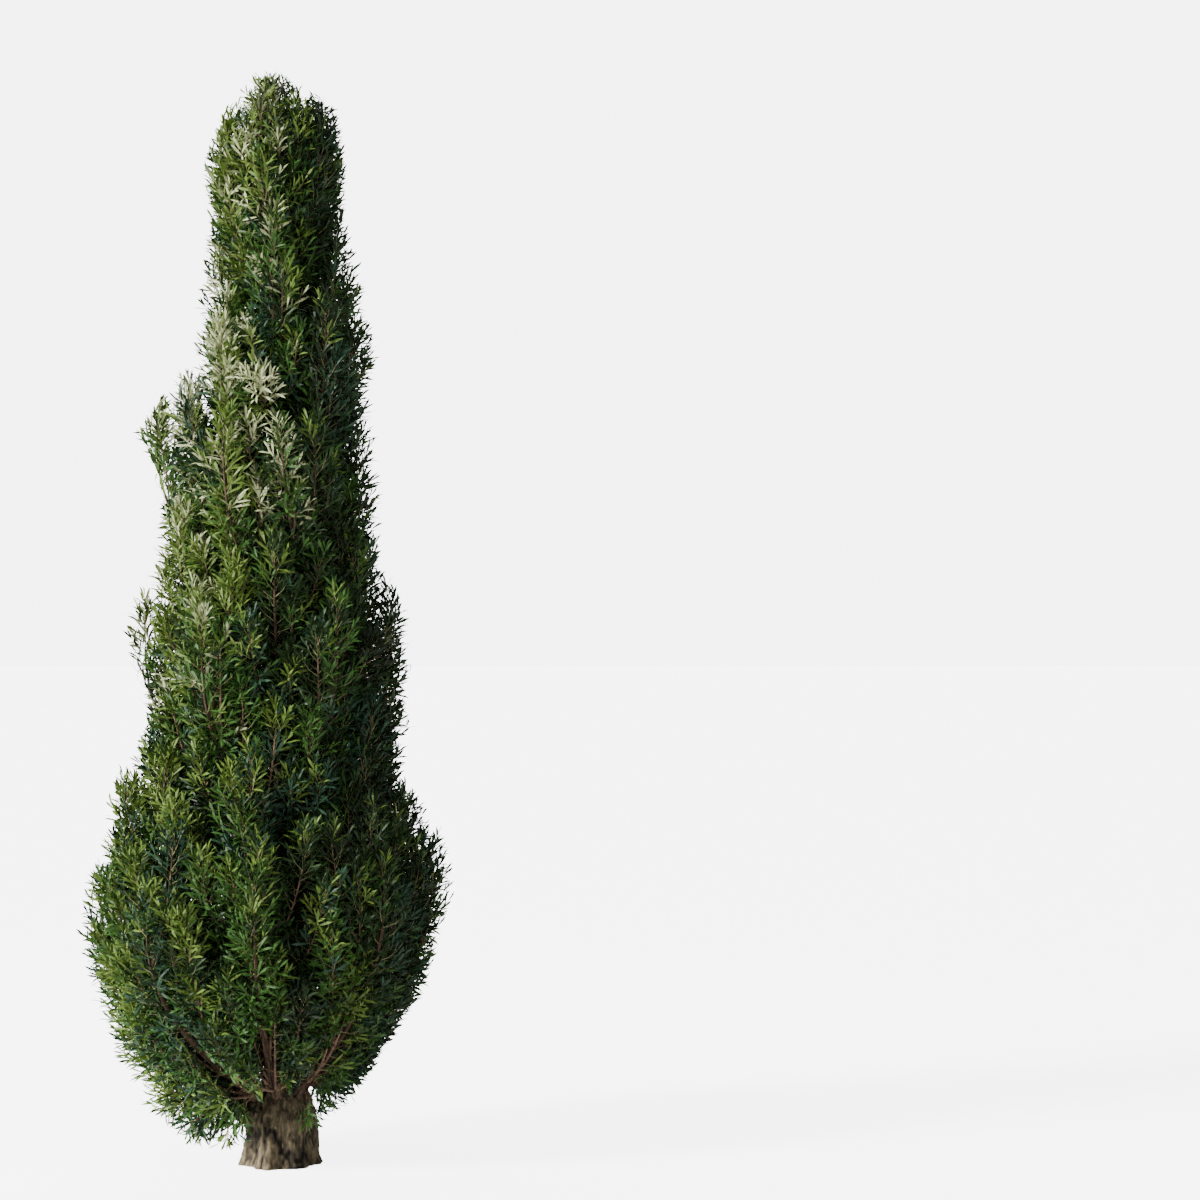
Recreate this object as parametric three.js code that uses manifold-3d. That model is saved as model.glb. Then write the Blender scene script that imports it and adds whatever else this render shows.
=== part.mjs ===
// A columnar cypress, three metres high, growing from a short fluted stump.
// Millimetres, +Z up, +X to the right of the front view, -Y towards the viewer.
// The origin is the middle of the flat cut under the trunk, at ground level.
//
// The trunk runs up through the crown. Round it stand tiers of steep limbs, and each
// limb carries a plume of foliage: a dense core on a stem, with three-sided twigs that
// end in flat sprays. A spray here stands for a whole tuft of small narrow leaves.

import * as THREE from "three";
import { mergeVertices } from "three/addons/utils/BufferGeometryUtils.js";
import Module from "manifold-3d";

// Driving dimensions of the whole tree
const TREE_HEIGHT = 3000;
const SEED = 20417;
const GAP = 0.3; // between pieces that touch

// Trunk: a stump with flutes and a root flare, and a thin leader above it
const TRUNK_TOP = 2640;
const LEADER_RADII = [38, 3.5]; // at the ground and at the trunk's top
const STUMP_RADIUS = 62; // what the stump adds to the leader
const STUMP_TOP = [105, 300]; // it narrows to the leader between these heights
const FLARE = { radius: 14, height: 34 };
const FLUTES = { count: 7, depths: [0.07, 0.02], turn: 0.5 };
const OVAL = { depth: 0.05, turn: 2.3 };
const TRUNK_LEAN = -45; // sideways travel of the trunk's line at the full height
const TRUNK_BOW = 14;
const TRUNK_SIDES = 21;
const TRUNK_HEIGHTS = [0, 12, 40, 85, 125, 165, 205, 250, 300, 420, 700, 1100, 1600, 2150, TRUNK_TOP];

// How far the crown reaches to the left and to the right of its middle, by height
const CROWN = [
  [60, 240, 115], [160, 355, 190], [330, 478, 288], [480, 500, 392], [650, 553, 430], [760, 525, 467],
  [900, 485, 445], [1060, 455, 325], [1200, 350, 366], [1330, 350, 335], [1450, 415, 368], [1600, 366, 290],
  [1850, 292, 264], [2010, 385, 245], [2150, 272, 270], [2350, 215, 265], [2600, 184, 158], [2750, 198, 168],
  [2900, 130, 146], [3000, 60, -20],
];

// Tiers of limbs from the ground up. foot is the height where a limb leaves the trunk, and
// tip the height of its plume's top on the left and on the right. turn is the first limb's
// direction in degrees from the right. bare is the share of a limb that has no foliage, and
// drop how far the foliage hangs below that. radius is the plume's at its fullest, and
// bough the limb's at its foot.
const TIERS = [
  { name: "skirt", count: 8, turn: 0, foot: 128, tip: [800, 905], bare: 0.2, drop: 120, radius: 180, bough: 15, sprays: 8 },
  { name: "lower", count: 6, turn: 25, foot: 215, tip: [1075, 1215], bare: 0.34, drop: 0, radius: 175, bough: 14, sprays: 6 },
  { name: "waist", count: 6, turn: 0, foot: 780, tip: [1560, 1590], bare: 0.1, drop: 40, radius: 165, bough: 10, sprays: 7 },
  { name: "middle", count: 6, turn: 30, foot: 1130, tip: [1820, 1730], bare: 0.1, drop: 40, radius: 150, bough: 9, sprays: 7 },
  { name: "upper", count: 6, turn: 0, foot: 1420, tip: [2110, 2030], bare: 0.1, drop: 40, radius: 140, bough: 8, sprays: 7 },
  { name: "high", count: 4, turn: 45, foot: 1700, tip: [2310, 2380], bare: 0.1, drop: 40, radius: 130, bough: 7, sprays: 7 },
  { name: "neck", count: 4, turn: 0, foot: 1990, tip: [2560, 2610], bare: 0.1, drop: 40, radius: 120, bough: 6, sprays: 6 },
  { name: "crest", count: 3, turn: 180, foot: 2290, tip: [2850, 2940], bare: 0.1, drop: 30, radius: 100, bough: 5, sprays: 6 },
];
const LEADER = { name: "leader", bare: 0, drop: -5, radius: 84, bough: 3.4, sprays: 6 };
const HEIGHT_JITTER = 45;
const TURN_JITTER = 5; // degrees
const STEM_INSET = 44; // how far the end of a stem stands inside the crown's outline

// Limbs: a limb swings out to most of its reach while it climbs a little, then stands up
const LIMB_SWING = { reach: 0.58, climb: 0.34 };
const LIMB_STAND = { reach: 0.04, climb: 0.42 };
const THINNEST_BOUGH = 12; // a thinner limb is all stem, from the trunk on
const BOUGH = { sides: 7, steps: 2, shorter: 0.01 };
const STEM = { sides: 4, steps: 2, tipRadius: 2.2, end: 0.45 };

// A plume has a dense core with a rippled surface, which keeps inset from the crown's
// outline except where it is slender. Where it hangs below its limb it splays outwards.
// A core that touches another is shrunk until it is clear.
const CORE = { sides: 8, rows: 6, splay: 0.8, below: 10, least: 11, slender: 34, ripple: 0.05, inset: 40, shrink: 0.88, tries: 12 };

// A spray is a flat fan with three pointed lobes on a three-sided twig. Its outline goes
// from the root past a side lobe to the tip, as [along, sideways] shares of its length, and
// it is thickest in its middle, where the twig ends as a ridge. A spray may stand over the
// crown's outline and stray into the next plume's space by a little.
const SPRAY = { length: 104, thickness: 8, middle: 0.36, sizes: [0.88, 1.06], smaller: 0.85, twist: 30, over: 22, stray: 35 };
const SPRAY_HALF = [[0, 0.02], [0.62, 0.3], [0.52, 0.08], [1, 0]];
const LOBE_TIPS = [1, 3]; // places in SPRAY_HALF

// Twigs start sunk in the core and lift their spray clear of it. Every next slant from the
// core's surface is tried with a smaller spray, and turns is how far round the plume they go.
const TWIG = { radius: 4.5, sunk: 14, tipSunk: 50, clear: 12, slants: [27, 12, 42], turns: 105 };
const STATIONS = [0.16, 0.94]; // sprays start between these shares of a core's height
const SPREADING = [0.7549, 0.5698]; // steps that spread the sprays evenly up and round a plume
const SPRAYS_TRIED = 70;
const SLOPE_STEP = 25; // height over which the core's slope is taken

// Each plume owns the space nearer to its own limb than to any other
const SPACE = { samples: 16, weight: 0.35, leastWeight: 0.4, gap: 3, steps: 24 };
const SMALLEST_EDGE = 0.05;
const LEAST_JOIN = 12; // mm3 that a twig must share with what it grows from

const COLOURS = { trunk: 0x7a6750, bough: 0x5a4434, foliage: [0x2f5a25, 0x3d6d2c, 0x274f2e, 0x4f7434] };

const wasm = await Module();
wasm.setup();

// Repeatable random numbers from 0 to 1
function randomSource(seed) {
  let state = seed >>> 0;
  return () => {
    state = (state + 0x6d2b79f5) >>> 0;
    let mixed = Math.imul(state ^ (state >>> 15), state | 1);
    mixed ^= mixed + Math.imul(mixed ^ (mixed >>> 7), mixed | 61);
    return ((mixed ^ (mixed >>> 14)) >>> 0) / 4294967296;
  };
}

const between = ([low, high], share) => low + (high - low) * share;
const settle = ([low, high], value) => THREE.MathUtils.smoothstep(value, low, high);
const radians = THREE.MathUtils.degToRad;

// A three.js geometry as a solid
function solidOf(geometry) {
  const bare = geometry.index ? geometry.toNonIndexed() : geometry.clone();
  bare.deleteAttribute("normal");
  bare.deleteAttribute("uv");
  const merged = mergeVertices(bare, 1e-3);
  return new wasm.Manifold(
    new wasm.Mesh({
      numProp: 3,
      vertProperties: merged.attributes.position.array,
      triVerts: new Uint32Array(merged.index.array),
    }),
  );
}

// A solid as a three.js geometry
function geometryOf(solid) {
  const mesh = solid.getMesh();
  const geometry = new THREE.BufferGeometry();
  geometry.setAttribute("position", new THREE.BufferAttribute(new Float32Array(mesh.vertProperties), 3));
  geometry.setIndex(new THREE.BufferAttribute(new Uint32Array(mesh.triVerts), 1));
  const faceted = geometry.toNonIndexed();
  faceted.computeVertexNormals();
  return faceted;
}

// Moves every vertex of a geometry by a rule
function reshape(geometry, rule) {
  const positions = geometry.attributes.position;
  const vertex = new THREE.Vector3();
  for (let i = 0; i < positions.count; i++) {
    rule(vertex.fromBufferAttribute(positions, i));
    positions.setXYZ(i, vertex.x, vertex.y, vertex.z);
  }
  return geometry;
}

// The trunk's centre line at a height
function trunkLine(height) {
  const share = height / TREE_HEIGHT;
  const x = TRUNK_LEAN * share * share + TRUNK_BOW * Math.sin(Math.PI * share);
  return new THREE.Vector3(x, TRUNK_BOW * Math.sin(2 * Math.PI * share), height);
}

function trunkRadius(height) {
  const leader = between(LEADER_RADII, height / TRUNK_TOP);
  const stump = STUMP_RADIUS * (1 - settle(STUMP_TOP, height));
  return leader + stump + FLARE.radius * Math.exp(-height / FLARE.height);
}

// The trunk's radius in one direction, with its flutes
function trunkSection(height, angle) {
  const upTheStump = settle([0, STUMP_TOP[1]], height);
  const flutes = between(FLUTES.depths, upTheStump) * Math.cos(FLUTES.count * angle + FLUTES.turn);
  const oval = OVAL.depth * (1 - upTheStump) * Math.cos(2 * angle + OVAL.turn);
  return trunkRadius(height) * (1 + flutes + oval);
}

function trunkSolid(extraRadius = 0) {
  const profile = [new THREE.Vector2(0, 0)];
  for (const height of TRUNK_HEIGHTS) profile.push(new THREE.Vector2(1, height));
  profile.push(new THREE.Vector2(0, TRUNK_TOP));
  const lathe = new THREE.LatheGeometry(profile, TRUNK_SIDES).rotateX(Math.PI / 2);
  return solidOf(
    reshape(lathe, (v) => {
      const angle = Math.atan2(v.y, v.x);
      const onTheAxis = Math.hypot(v.x, v.y) < 0.5;
      const radius = onTheAxis ? 0 : trunkSection(v.z, angle) + extraRadius;
      const middle = trunkLine(v.z);
      v.set(middle.x + radius * Math.cos(angle), middle.y + radius * Math.sin(angle), v.z);
    }),
  );
}

// A point of a curve, its direction there and two directions square to it
function frameAt(curve, share) {
  const along = curve.getTangentAt(share);
  const side = new THREE.Vector3(0, 0, 1).cross(along);
  if (side.length() < 1e-3) side.set(0, 1, 0);
  side.normalize();
  return { point: curve.getPointAt(share), along, side, front: along.clone().cross(side) };
}

// A tapering limb along a stretch of a curve, from a cylinder bent onto it
function limbSolid(curve, stretch, radii, { sides, steps }) {
  const cylinder = new THREE.CylinderGeometry(1, 1, 1, sides, steps);
  return solidOf(
    reshape(cylinder, (v) => {
      const share = v.y + 0.5;
      const radius = between(radii, share);
      const { point, side, front } = frameAt(curve, between(stretch, share));
      v.copy(point.addScaledVector(side, v.z * radius).addScaledVector(front, v.x * radius));
    }),
  );
}

// How far the crown reaches at a height; rightness is 1 on the right and -1 on the left
function crownReach(height, rightness) {
  const above = Math.max(1, CROWN.findIndex(([z], row) => z > height || row === CROWN.length - 1));
  const [[z0, left0, right0], [z1, left1, right1]] = [CROWN[above - 1], CROWN[above]];
  const share = THREE.MathUtils.clamp((height - z0) / (z1 - z0), 0, 1);
  return between([between([left0, left1], share), between([right0, right1], share)], (1 + rightness) / 2);
}

// How far a point lies inside the crown's outline
function depthInCrown(point) {
  const flat = Math.hypot(point.x, point.y);
  return crownReach(point.z, point.x / Math.max(flat, 1e-6)) - flat;
}

// The line of a limb from the trunk to the end of its stem
function limbCurve(foot, outward, reach, stemTop) {
  const climb = stemTop - foot;
  const start = trunkLine(foot);
  const end = new THREE.Vector3(0, 0, stemTop).addScaledVector(outward, reach);
  const swing = start.clone().addScaledVector(outward, LIMB_SWING.reach * reach);
  swing.z += LIMB_SWING.climb * climb;
  const stand = end.clone().addScaledVector(outward, LIMB_STAND.reach * reach);
  stand.z -= LIMB_STAND.climb * climb;
  return new THREE.CubicBezierCurve3(start, swing, stand, end);
}

// The limbs of one tier, each with its line
function plumesOf(tier, random) {
  return Array.from({ length: tier.count }, (_, index) => {
    const facing = radians(tier.turn + (360 * index) / tier.count + TURN_JITTER * (2 * random() - 1));
    const outward = new THREE.Vector3(Math.cos(facing), Math.sin(facing), 0);
    const lift = HEIGHT_JITTER * (2 * random() - 1) * (1 - Math.abs(outward.x));
    const stemTop = between(tier.tip, (1 + outward.x) / 2) + lift - SPRAY.length;
    const reach = crownReach(stemTop, outward.x) - STEM_INSET;
    const curve = limbCurve(tier.foot + lift / 2, outward, reach, stemTop);
    return { ...tier, label: tier.name + "_" + (index + 1), curve, facing, outward, turns: TWIG.turns };
  });
}

// The plume on the trunk's own top
function leaderPlume() {
  const stemTop = TREE_HEIGHT - SPRAY.length;
  const heights = [TRUNK_TOP + GAP, between([TRUNK_TOP, stemTop], 0.5), stemTop];
  const curve = new THREE.CatmullRomCurve3(heights.map(trunkLine));
  return { ...LEADER, label: LEADER.name, curve, facing: 0, outward: new THREE.Vector3(), turns: 180 };
}

// How full a plume is along its height, from nothing at both ends to 1
function swell(share) {
  return Math.pow(Math.max(0, Math.sin(Math.PI * Math.pow(share, 0.75))), 0.6);
}

const random = randomSource(SEED);
const plumes = [...TIERS.flatMap((tier) => plumesOf(tier, random)), leaderPlume()];
for (const plume of plumes) {
  const end = plume.curve.getPointAt(1);
  plume.start = plume.curve.getPointAt(plume.bare);
  plume.heights = [plume.start.z - plume.drop, end.z - CORE.below];
  plume.fullness = 1;
  plume.line = Array.from({ length: SPACE.samples + 1 }, (_, step) => plume.curve.getPointAt(step / SPACE.samples));
  const along = plume.curve.getTangentAt(1);
  const tips = [0.5, 1].map((share) => end.clone().addScaledVector(along, share * SPRAY.length));
  plume.samples = [...plume.line, ...tips].map((point) => {
    const fullness = Math.max(swell(heightShare(plume, point.z)), SPACE.leastWeight);
    return { point, weight: point === plume.line[0] ? 0 : SPACE.weight * plume.radius * fullness };
  });
}

// Where a height lies between the foot and the top of a plume's core, from 0 to 1
function heightShare(plume, height) {
  const [low, high] = plume.heights;
  return THREE.MathUtils.clamp((height - low) / (high - low), 0, 1);
}

function nearness(plume, point) {
  return Math.min(...plume.samples.map((sample) => sample.point.distanceTo(point) - sample.weight));
}

function clearOfTrunk(point, margin) {
  if (point.z > TRUNK_TOP + margin) return true;
  const middle = trunkLine(point.z);
  const widest = trunkRadius(Math.max(0, point.z)) * (1 + FLUTES.depths[0]);
  return Math.hypot(point.x - middle.x, point.y - middle.y) > widest + margin;
}

// Whether a point lies in a plume's own space, above the ground and clear of the trunk
function inSpace(plume, point, margin) {
  if (point.z < GAP || !clearOfTrunk(point, GAP)) return false;
  const own = nearness(plume, point) + margin;
  return plumes.every((other) => other === plume || nearness(other, point) > own);
}

// The middle of a plume's core at a height: on its limb, and splayed outwards below it
function coreMiddle(plume, height) {
  const hang = plume.start.z - height;
  if (hang >= 0) return plume.start.clone().addScaledVector(plume.outward, CORE.splay * hang).setZ(height);
  const above = plume.line.findIndex((point) => point.z > height);
  if (above < 1) return plume.line.at(-1).clone().setZ(height);
  const [low, high] = [plume.line[above - 1], plume.line[above]];
  return low.clone().lerp(high, (height - low.z) / (high.z - low.z));
}

// A point of the core's surface, as far out from its middle as there is room, with the
// level direction to it
function coreSurface(plume, height, turn) {
  const middle = coreMiddle(plume, height);
  const outward = new THREE.Vector3(Math.cos(turn), Math.sin(turn), 0);
  const wanted = plume.radius * plume.fullness * swell(heightShare(plume, height));
  const fits = (point, reach) =>
    (reach < CORE.slender || depthInCrown(point) > CORE.inset) && inSpace(plume, point, SPACE.gap);
  let radius = 0;
  for (let step = 1; step <= SPACE.steps; step++) {
    const reach = (wanted * step) / SPACE.steps;
    if (!fits(middle.clone().addScaledVector(outward, reach), reach)) break;
    radius = reach;
  }
  radius = Math.max(radius, CORE.least * plume.fullness);
  return { point: middle.addScaledVector(outward, radius), outward };
}

// The dense middle of a plume: a sphere drawn out along its height
function coreSolid(plume) {
  const sphere = new THREE.SphereGeometry(1, CORE.sides, CORE.rows);
  return solidOf(
    reshape(sphere, (v) => {
      const share = Math.acos(THREE.MathUtils.clamp(-v.y, -1, 1)) / Math.PI;
      const height = between(plume.heights, share);
      if (Math.hypot(v.x, v.z) < 1e-4) return v.copy(coreMiddle(plume, height));
      const turn = Math.atan2(v.x, v.z);
      const dent = CORE.ripple * (1 - Math.cos((turn * CORE.sides) / 2 + share * CORE.rows * Math.PI));
      return v.copy(coreSurface(plume, height, turn).point).lerp(coreMiddle(plume, height), dent);
    }),
  );
}

// A point of a spray, from its root along a direction and across it
const sprayPoint = (root, direction, across, size, [along, sideways]) =>
  root.clone().addScaledVector(direction, along * size).addScaledVector(across, sideways * size);

// A three-sided twig from its start to the root of a flat spray, with the spray's outline
// joined to a point above and one below its middle
function spraySolid({ start, root, direction, across, size }) {
  const place = (point) => sprayPoint(root, direction, across, size, point);
  const mirrored = SPRAY_HALF.slice(0, -1).reverse().map(([along, sideways]) => [along, -sideways]);
  const outline = [...SPRAY_HALF, ...mirrored].map(place);
  const through = across.clone().cross(direction);
  const rise = (SPRAY.thickness * size) / SPRAY.length / 2;
  const [over, under] = [rise, -rise].map((way) => place([SPRAY.middle, 0]).addScaledVector(through, way));
  const [left, right] = [-1, 1].map((way) => start.clone().addScaledVector(across, way * TWIG.radius));
  const ridge = start.clone().addScaledVector(through, TWIG.radius);
  const [first, last] = [outline[0], outline.at(-1)];
  const faces = [left, right, ridge, right, first, over, right, over, ridge, left, ridge, over, left, over, last];
  faces.push(left, last, first, left, first, right, under, first, last);
  outline.slice(1).forEach((point, index) => faces.push(over, outline[index], point, under, point, outline[index]));
  return solidOf(new THREE.BufferGeometry().setFromPoints(faces));
}

// Whether the tips of a spray's lobes keep to the crown and to the plume's space
function sprayFits(plume, { root, direction, across, size }) {
  const places = LOBE_TIPS.flatMap((place) => [1, -1].map((way) => [SPRAY_HALF[place][0], way * SPRAY_HALF[place][1]]));
  return places
    .map((place) => sprayPoint(root, direction, across, size, place))
    .every((tip) => depthInCrown(tip) > -SPRAY.over && inSpace(plume, tip, -SPRAY.stray));
}

const clearOf = (solid, others) => others.every((other) => solid.minGap(other, 2 * GAP) >= GAP);

// The spray at the end of the plume's stem
function tipSpray(plume) {
  const { point, along, side } = frameAt(plume.curve, 1);
  const start = point.clone().addScaledVector(along, -TWIG.tipSunk);
  return { start, root: point, direction: along, across: side, size: SPRAY.length };
}

// The spray of one number, which leaves the core at one of the slants
function sideSpray(plume, index, attempt, { twist, size }) {
  const height = between(plume.heights, between(STATIONS, (index * SPREADING[0]) % 1));
  const turn = plume.facing + radians(plume.turns) * (2 * ((index * SPREADING[1]) % 1) - 1);
  const { point, outward } = coreSurface(plume, height, turn);
  const upwards = coreSurface(plume, height + SLOPE_STEP, turn).point.sub(point).normalize();
  const off = outward.clone().addScaledVector(upwards, -outward.dot(upwards)).normalize();
  const slant = radians(TWIG.slants[attempt]);
  const direction = upwards.clone().multiplyScalar(Math.cos(slant)).addScaledVector(off, Math.sin(slant));
  const across = upwards.cross(off).applyAxisAngle(direction, twist);
  const start = point.clone().addScaledVector(direction, -TWIG.sunk / Math.sin(slant));
  const root = point.addScaledVector(direction, TWIG.clear);
  return { start, root, direction, across, size: size * Math.pow(SPRAY.smaller, attempt) };
}

// A twig with its spray, or nothing where they have no room or don't reach the heart
function sprayOn(plume, heart, spray, taken) {
  if (!sprayFits(plume, spray)) return null;
  const solid = spraySolid(spray);
  if (wasm.Manifold.intersection([heart, solid]).volume() < LEAST_JOIN) return null;
  const shortTwig = spray.root.clone().addScaledVector(spray.direction, -1);
  const fan = spraySolid({ ...spray, start: shortTwig });
  return clearOf(solid, taken) && clearOf(fan, [heart]) ? solid : null;
}

const trunk = trunkSolid();
const trunkSpace = trunkSolid(GAP);
const hasBough = (plume) => plume.bough > THINNEST_BOUGH;
const radiusAt = (plume, share) => between([plume.bough, STEM.tipRadius], share);

// The bare part of a limb, from the trunk to where it enters its foliage
function boughSolid(plume) {
  const radii = [plume.bough, radiusAt(plume, plume.bare)];
  return limbSolid(plume.curve, [0, plume.bare], radii, BOUGH).subtract(trunkSpace);
}

// The stem of a plume with its core, which is made smaller until it clears the others
function heartSolid(plume, near) {
  let core = coreSolid(plume);
  for (let tries = 0; tries < CORE.tries && !clearOf(core, near); tries++) {
    plume.fullness *= CORE.shrink;
    core = coreSolid(plume);
  }
  while (hasBough(plume) && !clearOf(boughSolid(plume), [core])) plume.bare -= BOUGH.shorter;
  const start = hasBough(plume) ? plume.bare + GAP / plume.curve.getLength() : 0;
  const radii = [start, STEM.end].map((share) => radiusAt(plume, share));
  const stem = limbSolid(plume.curve, [start, STEM.end], radii, STEM);
  return wasm.Manifold.union([stem, core]).subtract(trunkSpace);
}

const largestOf = (solid) => solid.decompose().sort((a, b) => b.volume() - a.volume())[0];

// A whole plume as one solid: its heart and the twigs with their sprays
function plumeSolid(plume, heart, near, random) {
  const placed = [];
  for (let index = 0; index < SPRAYS_TRIED && placed.length < plume.sprays; index++) {
    const twist = radians(SPRAY.twist * (2 * random() - 1));
    const look = { twist, size: SPRAY.length * between(SPRAY.sizes, random()) };
    for (const attempt of TWIG.slants.keys()) {
      const spray = index ? sideSpray(plume, index, attempt, look) : tipSpray(plume);
      const solid = sprayOn(plume, heart, spray, [...near, ...placed]);
      if (!solid) continue;
      placed.push(solid);
      break;
    }
  }
  return largestOf(largestOf(wasm.Manifold.union([heart, ...placed])).simplify(SMALLEST_EDGE));
}

// Whether a solid comes near the box round a plume
function boxesMeet(plume, other) {
  const margin = plume.radius + SPRAY.length;
  const box = new THREE.Box3().setFromPoints(plume.samples.map((sample) => sample.point));
  box.expandByScalar(margin);
  const { min, max } = other.boundingBox();
  return box.intersectsBox(new THREE.Box3(new THREE.Vector3(...min), new THREE.Vector3(...max)));
}

// The scene graph

function meshOf(name, solid, colour, roughness) {
  const material = new THREE.MeshStandardMaterial({ color: colour, roughness, metalness: 0, flatShading: true });
  const mesh = new THREE.Mesh(geometryOf(solid), material);
  mesh.name = name;
  return mesh;
}

const tree = new THREE.Group();
tree.add(meshOf("trunk", trunk, COLOURS.trunk, 0.9));
const boughs = new Map(plumes.filter(hasBough).map((plume) => [plume, boughSolid(plume)]));

// What a plume must stay clear of: every other bough and plume, finished or not
const bodies = new Map();
const around = (plume) =>
  [...boughs, ...bodies]
    .filter(([owner, solid]) => owner !== plume && boxesMeet(plume, solid))
    .map(([, solid]) => solid);
for (const plume of plumes) bodies.set(plume, heartSolid(plume, around(plume)));
for (const plume of boughs.keys()) {
  boughs.set(plume, boughSolid(plume));
  tree.add(meshOf("bough_" + plume.label, boughs.get(plume), COLOURS.bough, 0.85));
}
plumes.forEach((plume, index) => {
  bodies.set(plume, plumeSolid(plume, bodies.get(plume), around(plume), random));
  const colour = COLOURS.foliage[index % COLOURS.foliage.length];
  tree.add(meshOf("foliage_" + plume.label, bodies.get(plume), colour, 0.7));
});

export default tree;
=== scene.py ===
"""Dresses the cypress with bark, limbs, twigs and leaves, and sets its stage, light and camera.

Sizes are in metres where nothing else is said, +Z up, +X to the right of the front view and
-Y towards the viewer. The crown grows by the seeded rule of the solids: tiers of limbs round
the trunk, each with a plume of foliage that keeps to its own space. The rule goes on here from
the limbs to side shoots, from the shoots to twigs, and from the twigs to single leaves.
"""

import logging
import math
from dataclasses import dataclass, field
from enum import Enum

import bpy
import numpy as np
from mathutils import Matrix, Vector


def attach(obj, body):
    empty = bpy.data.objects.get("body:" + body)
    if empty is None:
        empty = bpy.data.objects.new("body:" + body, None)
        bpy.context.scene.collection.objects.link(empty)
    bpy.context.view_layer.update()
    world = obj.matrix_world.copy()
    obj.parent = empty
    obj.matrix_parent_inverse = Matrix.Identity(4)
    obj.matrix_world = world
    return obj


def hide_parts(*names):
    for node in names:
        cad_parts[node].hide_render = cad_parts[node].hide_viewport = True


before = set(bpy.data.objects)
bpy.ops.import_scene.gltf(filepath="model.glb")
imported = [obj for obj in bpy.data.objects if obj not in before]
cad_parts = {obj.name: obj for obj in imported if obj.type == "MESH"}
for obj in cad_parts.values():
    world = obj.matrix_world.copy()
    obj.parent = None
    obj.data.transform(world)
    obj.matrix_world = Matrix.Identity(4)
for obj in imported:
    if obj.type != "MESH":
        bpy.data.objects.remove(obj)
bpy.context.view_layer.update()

log = logging.getLogger("cypress")

# Short names for types
Array = np.ndarray
Material = bpy.types.Material
Pair = tuple[float, float]
Piece = bpy.types.Object
Triple = tuple[float, float, float]

MM = 0.001
UP = np.array([0.0, 0.0, 1.0])
GOLDEN_TURN = math.radians(137.508)

# What the rule shares with the solids
SEED = 20417
WORD = 0xFFFFFFFF
STRIDE = 0x6D2B79F5
GAP = 0.3 * MM
TREE_HEIGHT = 3.0
TRUNK_TOP = 2.64

# How far twigs and leaves may come to the front and go to the back
HALF_DEPTH = 0.488


def report(piece: Piece) -> None:
    """Logs the name of a piece and the number of its faces."""
    log.info("%s: %d faces", piece.name, len(piece.data.polygons))


# Small helpers for arrays of points


def unit(vectors: Array) -> Array:
    """Scales vectors to a length of one."""
    return vectors / np.maximum(np.linalg.norm(vectors, axis=-1, keepdims=True), 1e-9)


def smooth_step(low: float, high: float, value: Array) -> Array:
    """Eases from 0 at low to 1 at high."""
    share = np.clip((value - low) / (high - low), 0.0, 1.0)
    return share * share * (3.0 - 2.0 * share)


def mix(pair: Pair, share: float) -> float:
    """Returns the value at a share of the way through a pair."""
    return pair[0] + (pair[1] - pair[0]) * share


def interpolated(wanted: Array, places: Array, points: Array) -> Array:
    """Returns the points at some places along a row of points, axis by axis."""
    return np.stack([np.interp(wanted, places, values) for values in points.T], -1)


def square_to(vectors: Array, axes: Array) -> Array:
    """Returns what is left of vectors when their part along unit axes is taken away."""
    return vectors - axes * (vectors * axes).sum(-1, keepdims=True)


def leaning(along: Array, off: Array, angles: Array) -> Array:
    """Returns directions that lean by some angles from one direction towards another."""
    return unit(along * np.cos(angles)[..., None] + off * np.sin(angles)[..., None])


def spokes(side: Array, front: Array, count: int) -> Array:
    """Returns the unit directions of a ring of points round each place of a line."""
    turns = np.arange(count) * (2.0 * math.pi / count)
    return np.cos(turns)[None, :, None] * side[:, None] + np.sin(turns)[None, :, None] * front[:, None]


def turned(vectors: Array, axes: Array, angles: Array) -> Array:
    """Turns vectors about unit axes.

    Args:
        vectors: the vectors to turn, one in each row.
        axes: the unit axis of each.
        angles: the angle of each, in radians.

    Returns:
        The turned vectors.
    """
    cosine = np.cos(angles)[..., None]
    sine = np.sin(angles)[..., None]
    along = (vectors * axes).sum(-1, keepdims=True)
    return vectors * cosine + np.cross(axes, vectors) * sine + axes * along * (1.0 - cosine)


def level_direction(angle: float) -> Array:
    """Returns the level direction at an angle from +X."""
    return np.array([math.cos(angle), math.sin(angle), 0.0])


class RandomSource:
    """Repeatable random numbers from 0 to 1, the same as the solids were grown with."""

    def __init__(self, seed: int) -> None:
        """Starts the numbers from a seed."""
        self.state = seed

    def draw(self) -> float:
        """Draws the next number.

        Returns:
            The number, from 0 to 1.
        """
        self.state = (self.state + STRIDE) & WORD
        mixed = ((self.state ^ (self.state >> 15)) * (self.state | 1)) & WORD
        mixed ^= (mixed + (((mixed ^ (mixed >> 7)) * (mixed | 61)) & WORD)) & WORD
        return (mixed ^ (mixed >> 14)) / (WORD + 1)

    def swing(self) -> float:
        """Returns the next number on a scale from -1 to 1."""
        return 2.0 * self.draw() - 1.0


# Finishes


def set_sockets(node: bpy.types.Node, values: dict[str, float | tuple[float, ...]]) -> None:
    """Sets the values of a node's own inputs, given by their names."""
    for socket, value in values.items():
        node.inputs[socket].default_value = value


def wire(tree: bpy.types.NodeTree, links: tuple[tuple, ...]) -> None:
    """Links nodes, with each link given as a node and its output, then a node and its input."""
    for giver, output, taker, socket in links:
        tree.links.new(giver.outputs[output], taker.inputs[socket])


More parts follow.
